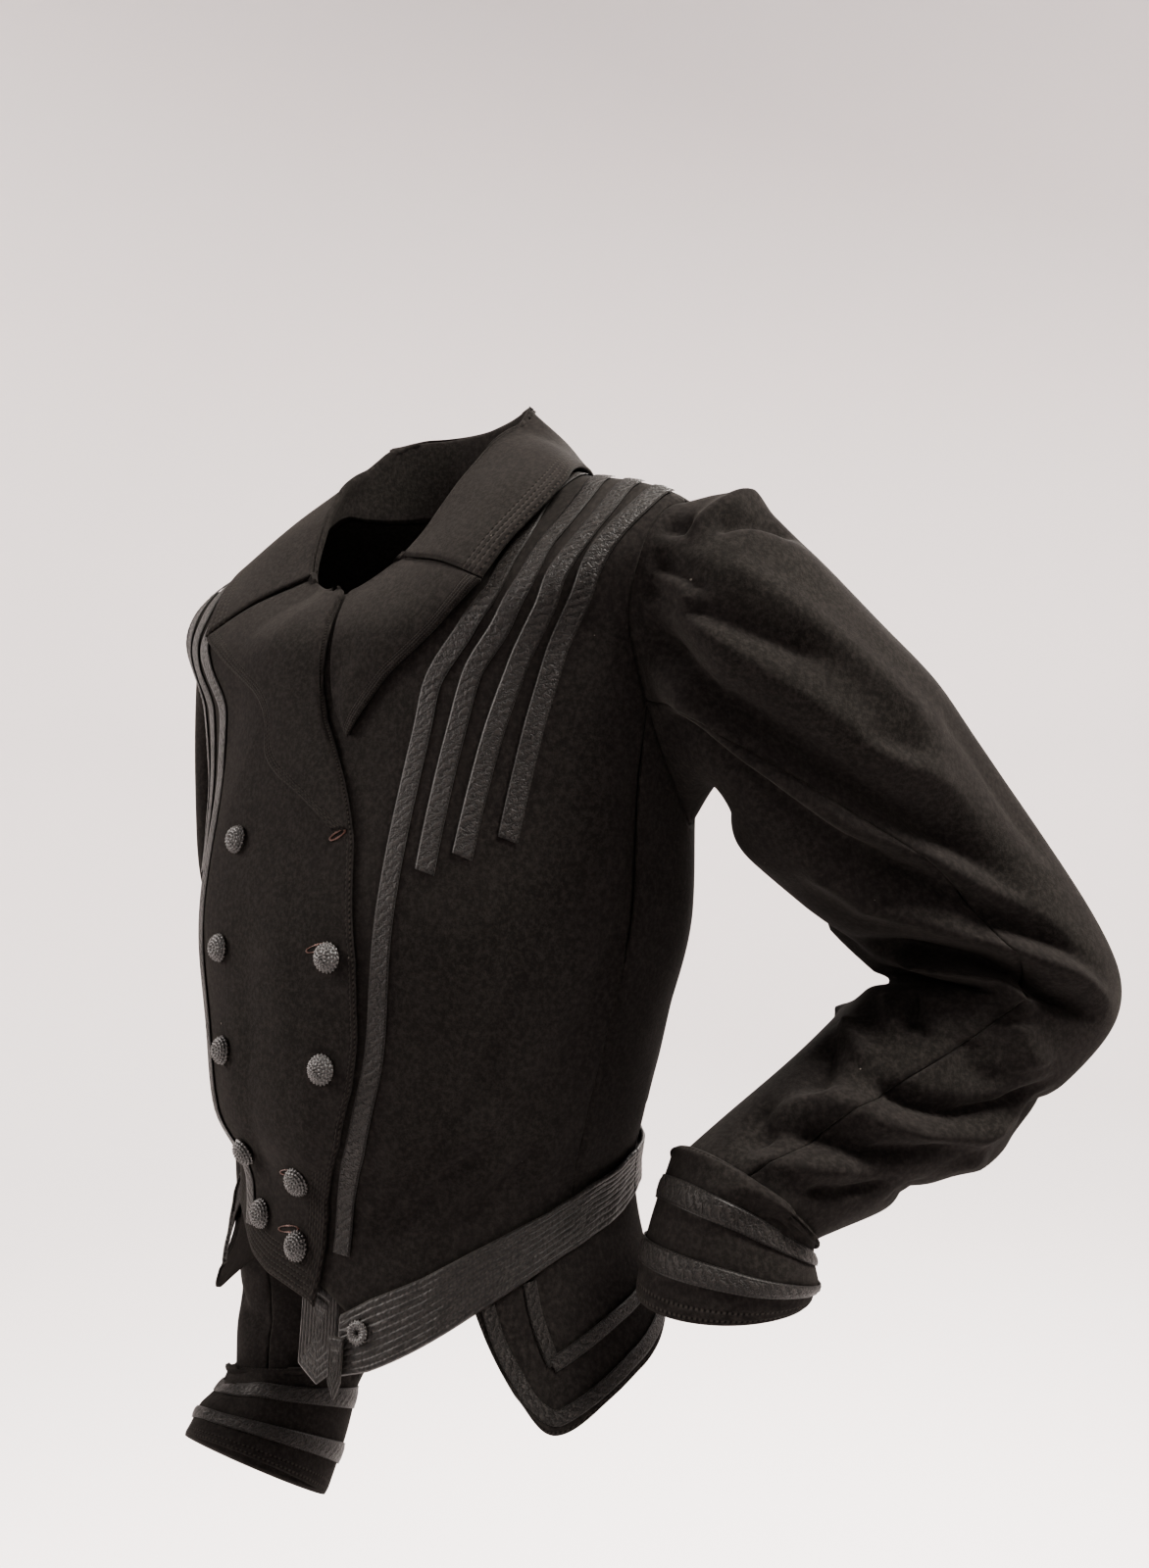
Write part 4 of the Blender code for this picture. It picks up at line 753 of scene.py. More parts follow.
def make_lapel(side, sign, table, collar_end):
    """A lapel, from its roll at the neck and front edge to its outer edge; its top row meets the collar."""
    down = np.linspace(0, 1, LAPEL_ROWS)
    inner_a, inner_t, outer_a, outer_t = smooth(table, down * (len(table) - 1)).T[..., None]
    share, down = np.linspace(0, 1, LAPEL_COLUMNS)[None, :], down[:, None]
    a = inner_a + (outer_a - inner_a) * share
    t = inner_t + (outer_t - inner_t) * share
    width = np.linalg.norm(form(inner_a, inner_t) - form(outer_a, outer_t), axis=-1) / MM
    bulge = LAPEL_BULGE * np.sin(share * np.pi) * ease(width / LAPEL_FULL_MM)
    height = CLOTH + LAPEL_BASE + LAPEL_STAND * share**LAPEL_RISE + bulge
    waves = ripple((down, 2.2), (share + down, 1.6), (share, LAPEL_WAVE_COUNTS[side]))
    height = height + LAPEL_WAVES * waves
    if sign < 0:
        height = height + lift(-a, t) + tape_relief(a, t)
    grid = on_form(sign * a, t, height)
    sewn = (1 - ease(down / LAPEL_SEWN))[..., None]
    grid = grid + (collar_end - grid[0] + unit(grid[LAPEL_WAY_ROW] - grid[0]) * LAPEL_TUCK) * sewn
    far = (1 - share) * width
    out = grid_normals(grid, flip=sign < 0)
    dip = edge_dip(far, TURNED_EDGE) + edge_dip(down * LAPEL_MM, TURNED_END)
    grid = grid + out * dip[..., None]
    radius = np.where(inner_t[:, 0] < NECK_ROLL_LEVEL, NECK_ROLL, FRONT_ROLL) * MM
    grid, far = rolled(grid, out[:, 0], far, radius)
    cloth(f"lapel_{side}", "cloth", grid, flip=sign < 0, row=far / STITCH_MM, rows=EDGE_STITCHES,
          along=down * LAPEL_STITCH_MM)


# Tapes

TAPE_COLUMNS, LONG_TAPE_STEPS, TAPE_STEPS = 11, 480, 260
FOLD_MM, FOLD_SLANT, TAPE_FLAT_END = 5.6, 1.9, 5  # spacing in mm, slant in folds, and the end in mm
CRINKLE_SHAPE, CRINKLE_BASE, CRINKLE_LOW, CRINKLE_CHANGE, CRINKLE_MM = 0.8, 0.05, 0.6, 0.3, 6.1
FOLD_SWAY, FOLD_SWAY_MM, TAPE_RAISED, TAPE_SLOPE = 0.5, 9.7, 0.43, 6


def crinkles(phase):
    """Little folds, one for each 1 of phase."""
    return abs(np.sin(phase * np.pi)) ** CRINKLE_SHAPE


def raised_middle(columns, half_width):
    """1 in the middle of a tape, 0 at its sewn edges."""
    return np.clip(1 - (abs(columns) / half_width) ** 4, 0, 1)


def laid_tape(path, steps, sign, width, height_at, slant, seed):
    """A crinkled tape on the form, with flat sewn edges and a middle in slanting folds, and its marks."""
    path = np.array(path, float)[:, ::-1]
    a, t = smooth(path, np.linspace(0, len(path) - 1, steps)).T
    a = a * sign
    middle, out = form(a, t), outward(a, t)
    along = unit(np.gradient(middle, axis=0))
    side = np.cross(out, along) * sign
    columns = np.linspace(-0.5, 0.5, TAPE_COLUMNS)
    span = np.concatenate([[0], np.cumsum(np.linalg.norm(np.diff(middle, axis=0), axis=1))])[:, None] / MM
    swell = raised_middle(columns, TAPE_RAISED)[None, :]
    if slant:
        swell = swell * ease((span[-1] - span - TAPE_FLAT_END) / TAPE_SLOPE)
    sway = FOLD_SWAY * np.sin(span / FOLD_SWAY_MM + seed) + seed
    phase = span / FOLD_MM + columns[None, :] * FOLD_SLANT + sway
    crinkle = crinkles(phase) * (CRINKLE_LOW + CRINKLE_CHANGE * np.sin(span / CRINKLE_MM + seed * 2))
    height = (height_at(a, t) + TAPE_SEAT)[:, None] + (CRINKLE_BASE + crinkle) * TAPE_CRINKLE * swell
    across = side[:, None] * (columns * width)[None, :, None]
    grid = middle[:, None] + across + out[:, None] * height[..., None]
    if slant:
        near_end = ease((span - span[-1] + TAPE_FLAT_END) / TAPE_FLAT_END)
        grid = grid + along[-1] * near_end[..., None] * (columns * slant * width / 3)[None, :, None]
    return grid, span + 0 * columns, columns + 0 * span


def silk(node, laid, sign):
    """A tape for a node from what laid_tape gives."""
    grid, span, across = laid
    cloth(node, "silk", grid, "tape", TAPE_THICK, flip=sign > 0, along=span, across=across)


def front_height(sign):
    """How far a front's outer side is off the form, as a function of the place."""
    if sign > 0:
        return lambda a, t: panel_height(a, t, LEFT_CREASES)
    return lambda a, t: panel_height(a, t, RIGHT_CREASES) + lift(a, t)


def make_tapes():
    for number, tape in enumerate(TAPES):
        for side, sign in SIDES:
            steps = TAPE_STEPS if number else LONG_TAPE_STEPS
            height_at, seed = front_height(sign), number + sign
            laid = laid_tape(tape.path, steps, sign, TAPE_WIDTH, height_at, tape.slant, seed)
            silk(f"{tape.name}_{side}", laid, sign)


# Peplums

PEPLUM_COLUMNS, PEPLUM_ROWS, PEPLUM_WIDTH_MM, PEPLUM_LENGTH_MM = 60, 44, 120, 65
PEPLUM_WAVES, PEPLUM_LAYER = 0.5 * MM, 0.4 * MM
BORDER_STEPS, V_STEPS = 150, 70


def peplum_height(a, t):
    """How far a peplum's outer side is off the form."""
    a = abs(a)
    top, low = follow(PEPLUM_TOP, a), follow(PEPLUM_LOW, a)
    share = np.clip((t - top) / (low - top), 0, 1.1)
    waves = PEPLUM_WAVES * share * ripple((a / 60, 2.0), (t, 0.6))
    return CLOTH + PEPLUM_OFF + PEPLUM_FLARE * share**2 + waves


def upper_layer_height(a, t):
    return peplum_height(a, t) + PEPLUM_LAYER


def make_peplum(side, sign):
    around, down = edge_shares(PEPLUM_COLUMNS), edge_shares(PEPLUM_ROWS)[:, None]
    top = smooth(PEPLUM_TOP, around * (len(PEPLUM_TOP) - 1))
    low = smooth(PEPLUM_LOW, around * (len(PEPLUM_LOW) - 1))
    a, t = (top[:, part] + (low[:, part] - top[:, part]) * down for part in (0, 1))
    edge = np.minimum(np.minimum(around, 1 - around) * PEPLUM_WIDTH_MM, (1 - down) * PEPLUM_LENGTH_MM)
    height = peplum_height(a, t) + edge_dip(edge, PEPLUM_EDGE)
    cloth(f"peplum_{side}", "cloth", on_form(sign * a, t, height), flip=sign < 0, row=edge / STITCH_MM,
          rows=1, along=along_mm(a, t))
    for part, legs, steps in (("border", [PEPLUM_BORDER], BORDER_STEPS), ("v", PEPLUM_V, V_STEPS)):
        laid = [
            laid_tape(leg, steps, sign, PEPLUM_TAPE_WIDTH, height_at, 0, layer + sign)
            for layer, (leg, height_at) in enumerate(zip(legs, (peplum_height, upper_layer_height)))
        ]
        silk(f"peplum_{part}_{side}", [list(parts) for parts in zip(*laid)], sign)


# Belt

BELT_ROWS, BELT_LINES, BELT_THICK, BELT_WIDTH_MM = 9, 28, 2.0 * MM, 22
BELT_ABOVE, BELT_WAVES, QUILT_SHAPE = 1.8 * MM, 0.25 * MM, 0.6
BELT_QUILT, PLATE_QUILT, PLATE_WIDTH_MM, PLATE_STITCH_MM = 0.30 * MM, 0.28 * MM, 14, 90
PLATE_SIDES, PLATE_RINGS, PLATE_CENTRE = 96, 26, 0.01
KEEPER_OFF, KEEPER_THICK, KEEPER_ROWS, TAB_ROWS = 4.3 * MM, 1.4 * MM, 3, 6
EYELET_RADIUS, EYELET_HEIGHT, EYELET_OFF, EYELET_ROUNDS = 5.0 * MM, 1.9 * MM, 2.4 * MM, 3
BELT_PARTS = (("belt_left", 17, 107, 200), ("belt_right", -38, -107, 170), ("belt_back", 107, 253, 290))


def quilting(rows, height):
    """Rounded ridges between rows of stitches."""
    return height * abs(np.sin(rows * np.pi)) ** QUILT_SHAPE


def belt_band(node, first, last, steps):
    a = np.linspace(first, last, steps)[None, :]
    share = np.linspace(0, 1, BELT_LINES)[:, None]
    top, bottom = follow(BELT_TOP, from_front(a)), follow(BELT_BOTTOM, from_front(a))
    t = top + (bottom - top) * share
    ends = np.minimum(a - min(first, last), max(first, last) - a) * MM_PER_DEGREE
    height = BELT_OFF + BELT_ABOVE + quilting(share * BELT_ROWS, BELT_QUILT)
    height = height + BELT_WAVES * ripple((a / 30, 2.3), (a / 17 + share, 1.9)) + edge_dip(ends, BELT_END)
    height = height + edge_dip(np.minimum(share, 1 - share) * BELT_WIDTH_MM, BELT_EDGE)
    cloth(node, "band", on_form(a, t, height), "belting", BELT_THICK, flip=last < first,
          row=share * BELT_ROWS, along=a * MM_PER_DEGREE)


def plate(node, corners, off, thick, rows):
    """A small flat end piece on rings that shrink from its outline, stitched round and round."""
    corners = np.array([(row.a, row.t) for row in corners])
    closed = np.concatenate([corners, corners[:1]])
    place = np.linspace(0, len(corners), PLATE_SIDES, endpoint=False)
    outline = np.stack([np.interp(place, np.arange(len(closed)), column) for column in closed.T], -1)
    share = np.linspace(PLATE_CENTRE, 1, PLATE_RINGS)[:, None]
    middle = corners.mean(axis=0)
    a, t = np.moveaxis(middle + (outline - middle) * share[..., None], -1, 0)
    height = off + quilting(share * rows, PLATE_QUILT) + edge_dip((1 - share) * PLATE_WIDTH_MM, PLATE_EDGE)
    cloth(node, "sewn", on_form(a, t, height + 0 * a), "belting", thick, closed=True, row=share * rows,
          along=np.linspace(0, PLATE_STITCH_MM, PLATE_SIDES)[None, :])


def make_belt():
    for row in BELT_PARTS:
        belt_band(*row)
    plate("belt_tab_end", BELT_TAB, -TAB_BEHIND, TAB_THICK, TAB_ROWS)
    plate("belt_keeper", KEEPER, BELT_OFF + KEEPER_OFF, KEEPER_THICK, KEEPER_ROWS)
    crochet("belt_eyelet", EYELET, EYELET_RADIUS, EYELET_HEIGHT, BELT_OFF + EYELET_OFF, EYELET_ROUNDS, True)


# Buttons and buttonholes

BUTTON_ROUNDS, RINGS_PER_ROUND, LOOP_SIDES, FIRST_LOOPS, LEAST_LOOPS = 6, 5, 84, 20, 4
LOOP_HEIGHT, LOOP_TWIST, DOME_END, DOME_SHAPE, JUST_UNDER = 1.15 * MM, 2.1, 0.985, 0.85, 0.999
SLIT_POINTS, SLIT_SIDES, SLIT_STITCHES, SLIT_OFF = 150, 8, 26, 0.2 * MM
SLIT_HALF_WIDTH, SLIT_SHAPE, SLIT_THREAD = 1.5 * MM, 0.7, 0.62 * MM
LOOP_MEAN, LOOP_SWING, THREAD_MEAN, THREAD_SWING = 0.45, 0.55, 0.72, 0.28


def place_ways(a, t):
    """The ways right, up and out at a place on the form."""
    out = outward(a, t)
    right = unit(np.cross(out, (0, 0, 1.0)))
    return right, np.cross(right, out), out


def round_loops(share, turn, rounds):
    """How high the crocheted loops of each round stand, 0 to 1."""
    number = np.floor(share * rounds * JUST_UNDER)
    loops = np.maximum(LEAST_LOOPS, np.round(FIRST_LOOPS * np.cos(number / rounds * np.pi / 2)))
    across = np.sin(share * rounds * np.pi) ** 2
    return across * (LOOP_MEAN + LOOP_SWING * np.cos(loops * turn + number * LOOP_TWIST))


def crochet(node, at, radius, height, off, rounds=BUTTON_ROUNDS, hollow=False):
    """A round of crocheted loops on a dome, or on a ring where it is hollow."""
    rings = RINGS_PER_ROUND * rounds + 1
    share = np.linspace(0, 1, rings)[:, None]
    turn = np.linspace(0, 2 * np.pi, LOOP_SIDES, endpoint=False)[None, :]
    bump = round_loops(share, turn, rounds)
    knob = bump * LOOP_HEIGHT
    rise = share * np.pi / 2 * DOME_END
    flat = radius * np.cos(rise) + knob * np.cos(rise)
    dome = np.sin(share * np.pi) if hollow else np.sin(rise) ** DOME_SHAPE
    up = height * dome + knob * np.sin(rise)
    right_way, up_way, out = place_ways(at.a, at.t)
    centre = on_form(at.a, at.t, off)
    side = right_way * np.cos(turn)[..., None] + up_way * np.sin(turn)[..., None]
    grid = centre + side * flat[..., None] + out * up[..., None]
    points = np.concatenate([grid.reshape(-1, 3), [centre + out * up[-1].mean(), centre]])
    faces = [tuple(face) for face in grid_faces(rings, LOOP_SIDES, True, True)]
    last, top = (rings - 1) * LOOP_SIDES, rings * LOOP_SIDES
    for first in range(LOOP_SIDES):
        after = (first + 1) % LOOP_SIDES
        faces += [(last + first, last + after, top), (after, first, top + 1)]
    # The loop heights become the row mark, which paints the highlight on the raised loops.
    loop_highlight = np.concatenate([bump.ravel(), [0.5, 0.0]])
    new_object(f"{node}_loops", points, faces, "crochet", node, {"row": loop_highlight})


def buttonhole(name, hole):
    """A slit with thread sewn over its edge all round."""
    right_way, up_way, out = place_ways(hole.a, hole.t)
    lean = np.radians(hole.tilt)
    long_way = right_way * np.cos(lean) + up_way * np.sin(lean)
    turn = np.linspace(0, 2 * np.pi, SLIT_POINTS, endpoint=False)[:, None]
    ring = long_way * (np.cos(turn) * hole.length * MM / 2)
    ring = ring + np.cross(out, long_way) * (power(np.sin(turn), SLIT_SHAPE) * SLIT_HALF_WIDTH)
    thread = SLIT_THREAD * (THREAD_MEAN + THREAD_SWING * np.cos(turn * SLIT_STITCHES))
    rim = np.linspace(0, 2 * np.pi, SLIT_SIDES, endpoint=False)
    centre = on_form(hole.a, hole.t, CLOTH + lift(hole.a, hole.t) + SLIT_OFF)
    grid = centre + ring[:, None] + unit(ring)[:, None] * (np.cos(rim) * thread)[..., None]
    grid = grid + out * (np.sin(rim) * thread)[..., None]
    grid = np.concatenate([grid, grid[:1]])
    new_object(name, grid.reshape(-1, 3), grid_faces(len(grid), SLIT_SIDES, True, True), "rust")


def make_buttons():
    for row in BUTTONS:
        off = CLOTH + row.clear * MM + lift(row.a, row.t)
        crochet(row.name, row, BUTTON_RADIUS, BUTTON_HEIGHT, off)
    for number, hole in enumerate(BUTTONHOLES, 1):
        buttonhole(f"buttonhole_{number}", hole)


# Sleeves

CAP_ROWS, ARM_ROWS, UPPER_COLUMNS, UNDER_COLUMNS, SLEEVE_EASED = 42, 162, 112, 58, 0.4
ARMHOLE_IN, ARMHOLE_OUT, HEAD_TUCK, TUCK_DOWN = 0.3, 0.6, 2.2 * MM, 0.7
CAP_LEAN, HEAD_STATION, SLEEVE_WAVES = 1.2, 0.12, 0.6 * MM


def armhole_ring(sign, turns, tuck=0.0):
    """The sleeve's first ring, on the armhole, or tucked this far under the body's edge."""
    edge = armhole_part(0, 360 - ARMHOLE_STEP, len(ARMHOLE) - 1)
    middle = form(sign * edge[:, 0], edge[:, 1]).mean(axis=0)
    a, t = smooth([(row.a, row.t) for row in ARMHOLE], (turns % 360) / ARMHOLE_STEP).T
    point, out = form(sign * a, t), outward(sign * a, t)
    inward = middle - point
    inward = unit(inward - out * (inward * out).sum(-1, keepdims=True))
    point = point + inward * (ARMHOLE_GAP * ARMHOLE_IN - tuck)
    return point + out * (CLOTH * ARMHOLE_OUT - tuck * TUCK_DOWN)


def ellipse(centre, along, outer, half_out, half_side, turns, sign):
    """A ring round an arm, whose turn 0 is on its outer side."""
    side = unit(np.cross(along, outer)) * sign
    turns = np.radians(turns)[:, None]
    return centre + outer * half_out * np.cos(turns) + side * half_side * np.sin(turns)


def section_ring(sections, index, turns, sign):
    row = sections[index]
    here = np.array(row[:3])
    before = np.array(sections[max(index - 1, 0)][:3])
    after = np.array(sections[min(index + 1, len(sections) - 1)][:3])
    along = unit(after - before)
    if index == 0:
        along = unit(unit(after - here) + np.array([sign * CAP_LEAN, 0, 0]))
    return ellipse(here, along, unit(np.array(row[3:6])), row.half_out, row.half_side, turns, sign)


def gathered(turn, station):
    """How high the gathers at the sleeve's head stand."""
    turn = near_angle(turn)
    swell = np.sin(np.pi * np.clip(station / GATHER_REACH / 2, 0, 1))
    wave = np.cos(np.radians(turn * 360 / GATHER_WAVE))
    return np.where(abs(turn) < GATHER_HALF_ANGLE, GATHER_DEPTH * swell * wave, 0)


def sleeve_grid(sections, folds, sign, turns, stations):
    rings = [armhole_ring(sign, turns)]
    rings += [section_ring(sections, index, turns, sign) for index in range(len(sections))]
    grid = smooth(np.array(rings), stations)
    centres = smooth([row[:3] for row in sections], np.maximum(stations - 1, 0))
    out = unit(grid - centres[:, None])
    turn, station = turns[None, :], stations[:, None]
    height = crease_height(turn, station, folds, SLEEVE_MM, FOLD_STRENGTH) + gathered(turn, station)
    around, down = turn / 360, station / 7
    height = height + SLEEVE_WAVES * ripple((around, 5), (down, 6.3), (around + down, 7))
    return grid + out * (height * np.clip(station / HEAD_STATION, 0, 1))[..., None]


def make_sleeve(side, sections, folds, sign):
    cap = np.linspace(0, 1, CAP_ROWS)[:-1]
    stations = np.concatenate([cap, np.linspace(1, len(sections), ARM_ROWS)])
    for name, first, last, count in (
        ("upper", UNDER_TO - 360, UNDER_FROM, UPPER_COLUMNS),
        ("under", UNDER_FROM, UNDER_TO, UNDER_COLUMNS),
    ):
        turns = first + (last - first) * edge_shares(count, SLEEVE_EASED)
        grid = sleeve_grid(sections, folds, sign, turns, stations)
        far = np.minimum(turns - first, last - turns) * RING_MM
        grid = grid + grid_normals(grid, flip=sign > 0) * edge_dip(far, SLEEVE_SEAM)[None, :, None]
        grid = np.concatenate([armhole_ring(sign, turns, HEAD_TUCK)[None], grid])
        cloth(f"sleeve_{name}_{side}", "cloth", grid, flip=sign > 0)


# Cuffs

CUFF_COLUMNS, CUFF_ROWS, CUFF_END, CUFF_LENGTH_MM, CUFF_STITCHES = 150, 52, 3, 14, 2
CUFF_LOOSE, CUFF_LOOSE_END, CUFF_WAVES, CUFF_INSIDE, INNER_START = 1.2 * MM, 1.3, 0.8 * MM, 1.5 * MM, 0.03
CUFF_TAPE_RAISED, CUFF_FOLD_SLANT, CUFF_FOLD_SWAY = 0.37, 1.3, 0.35
CUFF_TAPE_OFF, CUFF_TAPE_STEP, CUFF_CRINKLE, CUFF_CRINKLE_BASE = 0.7 * MM, 0.3 * MM, 0.8, 0.1


def cuff_rings(sections, cuff, sign, turns, extra=0.0):
    """The cuff's rings: just above the wrist, at it, halfway and at the free end."""
    wrist = sections[-1]
    arm = unit(np.array(wrist[:3]) - np.array(sections[-2][:3]))
    rings = []
    for down in (-1, 0, 0.5, 1):
        share = max(down, 0)
        centre = np.array(wrist[:3]) + (np.array(cuff[:3]) * share if share else arm * CUFF_UP * down)
        outer = unit(unit(np.array(wrist[3:6])) * (1 - share) + unit(np.array(cuff[3:6])) * share)
        along = unit(arm * (1 - share) + unit(np.array(cuff[:3])) * share)
        half_out = wrist.half_out * (1 - share) + cuff.half_out * share + CUFF_OVER + extra
        half_side = wrist.half_side * (1 - share) + cuff.half_side * share + CUFF_OVER + extra
        rings.append(ellipse(centre, along, outer, half_out, half_side, turns, sign))
    return np.array(rings)


def cuff_height(turns, at):
    """How far the cuff's cloth stands off its form."""
    turn, at = turns[None, :], at[:, None]
    loose = CUFF_LOOSE * (1 - ease(at / CUFF_LOOSE_END))
    waves = CUFF_WAVES * ripple((turn / 360, 3), (at / CUFF_END + turn / 180, 1.0))
    return loose + waves + crease_height(turn, at, CUFF_FOLDS, CUFF_MM)


def make_cuff(side, sections, cuff, sign):
    turns = np.linspace(0, 360, CUFF_COLUMNS + 1)[:-1]
    rings = cuff_rings(sections, cuff, sign, turns, CLOTH)
    at = np.linspace(0, CUFF_END, CUFF_ROWS)
    grid = smooth(rings, at)
    edge = np.minimum(at, CUFF_END - at)[:, None] * CUFF_LENGTH_MM + 0 * turns
    height = cuff_height(turns, at) + edge_dip(edge, CUFF_EDGE)
    grid = grid + grid_normals(grid, closed=True, flip=sign > 0) * height[..., None]
    inside = cuff_rings(sections, cuff, sign, turns, -CUFF_INSIDE)[-1]
    wrist = section_ring(sections, len(sections) - 1, turns, sign)
    back = np.linspace(INNER_START, 1, CUFF_INNER_ROWS)[:, None, None]
    grid = np.concatenate([grid, inside + (wrist - inside) * back])
    edge = np.concatenate([edge, np.full((CUFF_INNER_ROWS, CUFF_COLUMNS), NO_STITCH)])
    cloth(f"cuff_{side}", "cloth", grid, closed=True, flip=sign > 0, row=edge / STITCH_MM,
          rows=CUFF_STITCHES, along=turns[None, :] * CUFF_MM[0])
    for number in range(len(CUFF_TAPES)):
        make_cuff_tape(number, side, rings, turns, sign)


def make_cuff_tape(number, side, rings, turns, sign):
    start, end = CUFF_TAPES[number]
    at = 1 + 2 * np.linspace(start, end, TAPE_COLUMNS)
    grid = smooth(rings, at)
    columns = np.linspace(-0.5, 0.5, TAPE_COLUMNS)[:, None]
    swell = raised_middle(columns, CUFF_TAPE_RAISED)
    sway = CUFF_FOLD_SWAY * np.sin(np.radians(turns))
    phase = turns / 360 * CUFF_CRINKLES + columns * CUFF_FOLD_SLANT + sway
    height = cuff_height(turns, at) + CUFF_TAPE_OFF + CUFF_TAPE_STEP * (number + 1)
    height = height + (CUFF_CRINKLE_BASE + CUFF_CRINKLE * crinkles(phase)) * TAPE_CRINKLE * swell
    grid = grid + grid_normals(grid, closed=True, flip=sign > 0) * height[..., None]
    cloth(f"cuff_tape_{number + 1}_{side}", "silk", grid, "tape", TAPE_THICK, closed=True, flip=sign > 0,
          along=turns[None, :] * CUFF_MM[0], across=columns)


# Materials

# The groove colour is painted shade: the dark painted into stitch grooves, the tapes' seam grooves and the
# belt's cracks, which the bump also dents. LINT is the colour of pale lint specks.
GROOVE_SHADE, LINT = (0.002, 0.002, 0.002), (0.10, 0.09, 0.08)
SHEEN_TINT, SHEEN_ROUGHNESS = (1.0, 0.9, 0.8, 1), 0.5
THREAD_COLOURS = {  # dark and light of the crocheted and the sewn thread: on the crochet the light is a painted highlight on the raised loops and the dark is painted shade between them
    "crochet": ("crochet_thread", (0.0016, 0.0015, 0.0015), (0.026, 0.023, 0.021)),
    "rust": ("buttonhole_thread", (0.060, 0.020, 0.012), (0.190, 0.070, 0.045)),
}


class Nodes:
    """A material's node tree, with short calls for what the cloths use."""

    def __init__(self, name, roughness, sheen, specular):
        self.made = bpy.data.materials.new(name)
        self.made.use_nodes = True
        self.tree = self.made.node_tree
        self.shader = self.tree.nodes["Principled BSDF"]
        for socket, value in (
            ("Roughness", roughness), ("Sheen Weight", sheen), ("Specular IOR Level", specular),
            ("Sheen Roughness", SHEEN_ROUGHNESS), ("Sheen Tint", SHEEN_TINT),
        ):
            self.shader.inputs[socket].default_value = value
        self.place = self.new("TexCoord").outputs["Object"]

    def new(self, kind):
        return self.tree.nodes.new(f"ShaderNode{kind}")

    def put(self, socket, value):
        if isinstance(value, bpy.types.NodeSocket):
            self.tree.links.new(value, socket)
        else:
            socket.default_value = value

    def set(self, node, **values):
        for name, value in values.items():
            self.put(node.inputs[name], value)

    def math(self, operation, *values, clamp=False):
        made = self.new("Math")
        made.operation = operation
        made.use_clamp = clamp
        for socket, value in zip(made.inputs, values):
            self.put(socket, value)
        return made.outputs[0]

    def times(self, value, other):
        return self.math("MULTIPLY", value, other)

    def plus(self, value, other, clamp=False):
        return self.math("ADD", value, other, clamp=clamp)

    def total(self, *parts):
        """The sum of values, each times its weight."""
        summed = 0.0
        for value, weight in parts:
            summed = self.plus(summed, self.times(value, weight))
        return summed

    def off(self, value, middle):
        """How far a value is from a middle one."""
        return self.math("ABSOLUTE", self.math("SUBTRACT", value, middle))

    def wave(self, value, length):
        return self.math("SINE", self.times(value, 2 * np.pi / length))

    def step(self, value, start, end):
        """0 at start or before, 1 at end or after."""
        return self.math("DIVIDE", self.math("SUBTRACT", value, start), end - start, clamp=True)

    def noise(self, scale, detail=3.0, rough=0.6, place=None):
        made = self.new("TexNoise")
        self.set(made, Vector=place or self.place, Scale=scale, Detail=detail, Roughness=rough)
        return made.outputs[0]

    def cells(self, scale, feature="F1", place=None):
        made = self.new("TexVoronoi")
        made.feature = feature
        self.set(made, Vector=place or self.place, Scale=scale)
        return made.outputs["Distance"]

    def mark(self, name):
        made = self.new("Attribute")
        made.attribute_name = name
        return made.outputs["Fac"]

    def flat_place(self, first, second):
        made = self.new("CombineXYZ")
        self.set(made, X=first, Y=second)
        return made.outputs[0]

    def blend(self, factor, under, over):
        made = self.new("Mix")
        made.data_type = "RGBA"
        factor_in = next(socket for socket in made.inputs if socket.enabled and socket.type == "VALUE")
        colours = [socket for socket in made.inputs if socket.enabled and socket.type == "RGBA"]
        self.put(factor_in, factor)
        for socket, colour in zip(colours, (under, over)):
            self.put(socket, colour if isinstance(colour, bpy.types.NodeSocket) else (*colour, 1))
        return next(socket for socket in made.outputs if socket.enabled)

    def painted(self, colour, *coats):
        """A colour under coats of others: each a mask, its strength and its colour."""
        for mask, strength, over in coats:
            colour = self.blend(self.times(mask, strength), colour, over)
        return colour

    def thread(self, row, along, pitch):
        """A line of stitches in the middle of each row: how deep the groove is, and where thread shows."""
        groove = self.step(self.off(self.math("FRACT", row), 0.5), 0.24, 0.06)
        return groove, self.times(groove, self.step(self.wave(along, pitch), -0.5, 0.3))

    def finish(self, colour, height, depth):
        """Sets the colour, and a bump of this height field, whose full range is depth in metres."""
        bump = self.new("Bump")
        self.set(bump, Distance=depth, Height=height)
        self.put(self.shader.inputs["Base Color"], colour)
        self.set(self.shader, Normal=bump.outputs[0])
        return self.made


def wool():
    nodes = Nodes("black_wool", roughness=1.0, sheen=WOOL_SHEEN, specular=0.05)
    broad, fine, nap = nodes.noise(26, 4), nodes.noise(1500, 3, 0.7), nodes.noise(420, 4, 0.7)
    row = nodes.mark("row")
    groove, stitch = nodes.thread(row, nodes.mark("along"), pitch=2.6)
    sewn = nodes.math("LESS_THAN", row, nodes.mark("rows"))
    groove, stitch = nodes.times(groove, sewn), nodes.times(stitch, sewn)
    lint_size = nodes.times(nodes.step(nodes.noise(30), 0.45, 0.8), 0.06)
    lint = nodes.math("LESS_THAN", nodes.cells(75), lint_size)
    # The stitch grooves are painted darker, as painted shade; the broad tone, the nap flecks, the thread
    # and the lint are the wool's own colours.
    colour = nodes.painted(
        nodes.blend(broad, WOOL_DARK, WOOL_LIGHT), (nodes.step(nap, 0.42, 0.68), 0.6, WOOL_NAP),
        (groove, 0.75, GROOVE_SHADE), (stitch, 0.8, THREAD), (lint, 0.8, LINT),
    )
    height = nodes.total((fine, 0.35), (nap, 0.35), (groove, -1.2), (stitch, 0.5))
    return nodes.finish(colour, height, 0.35 * MM)


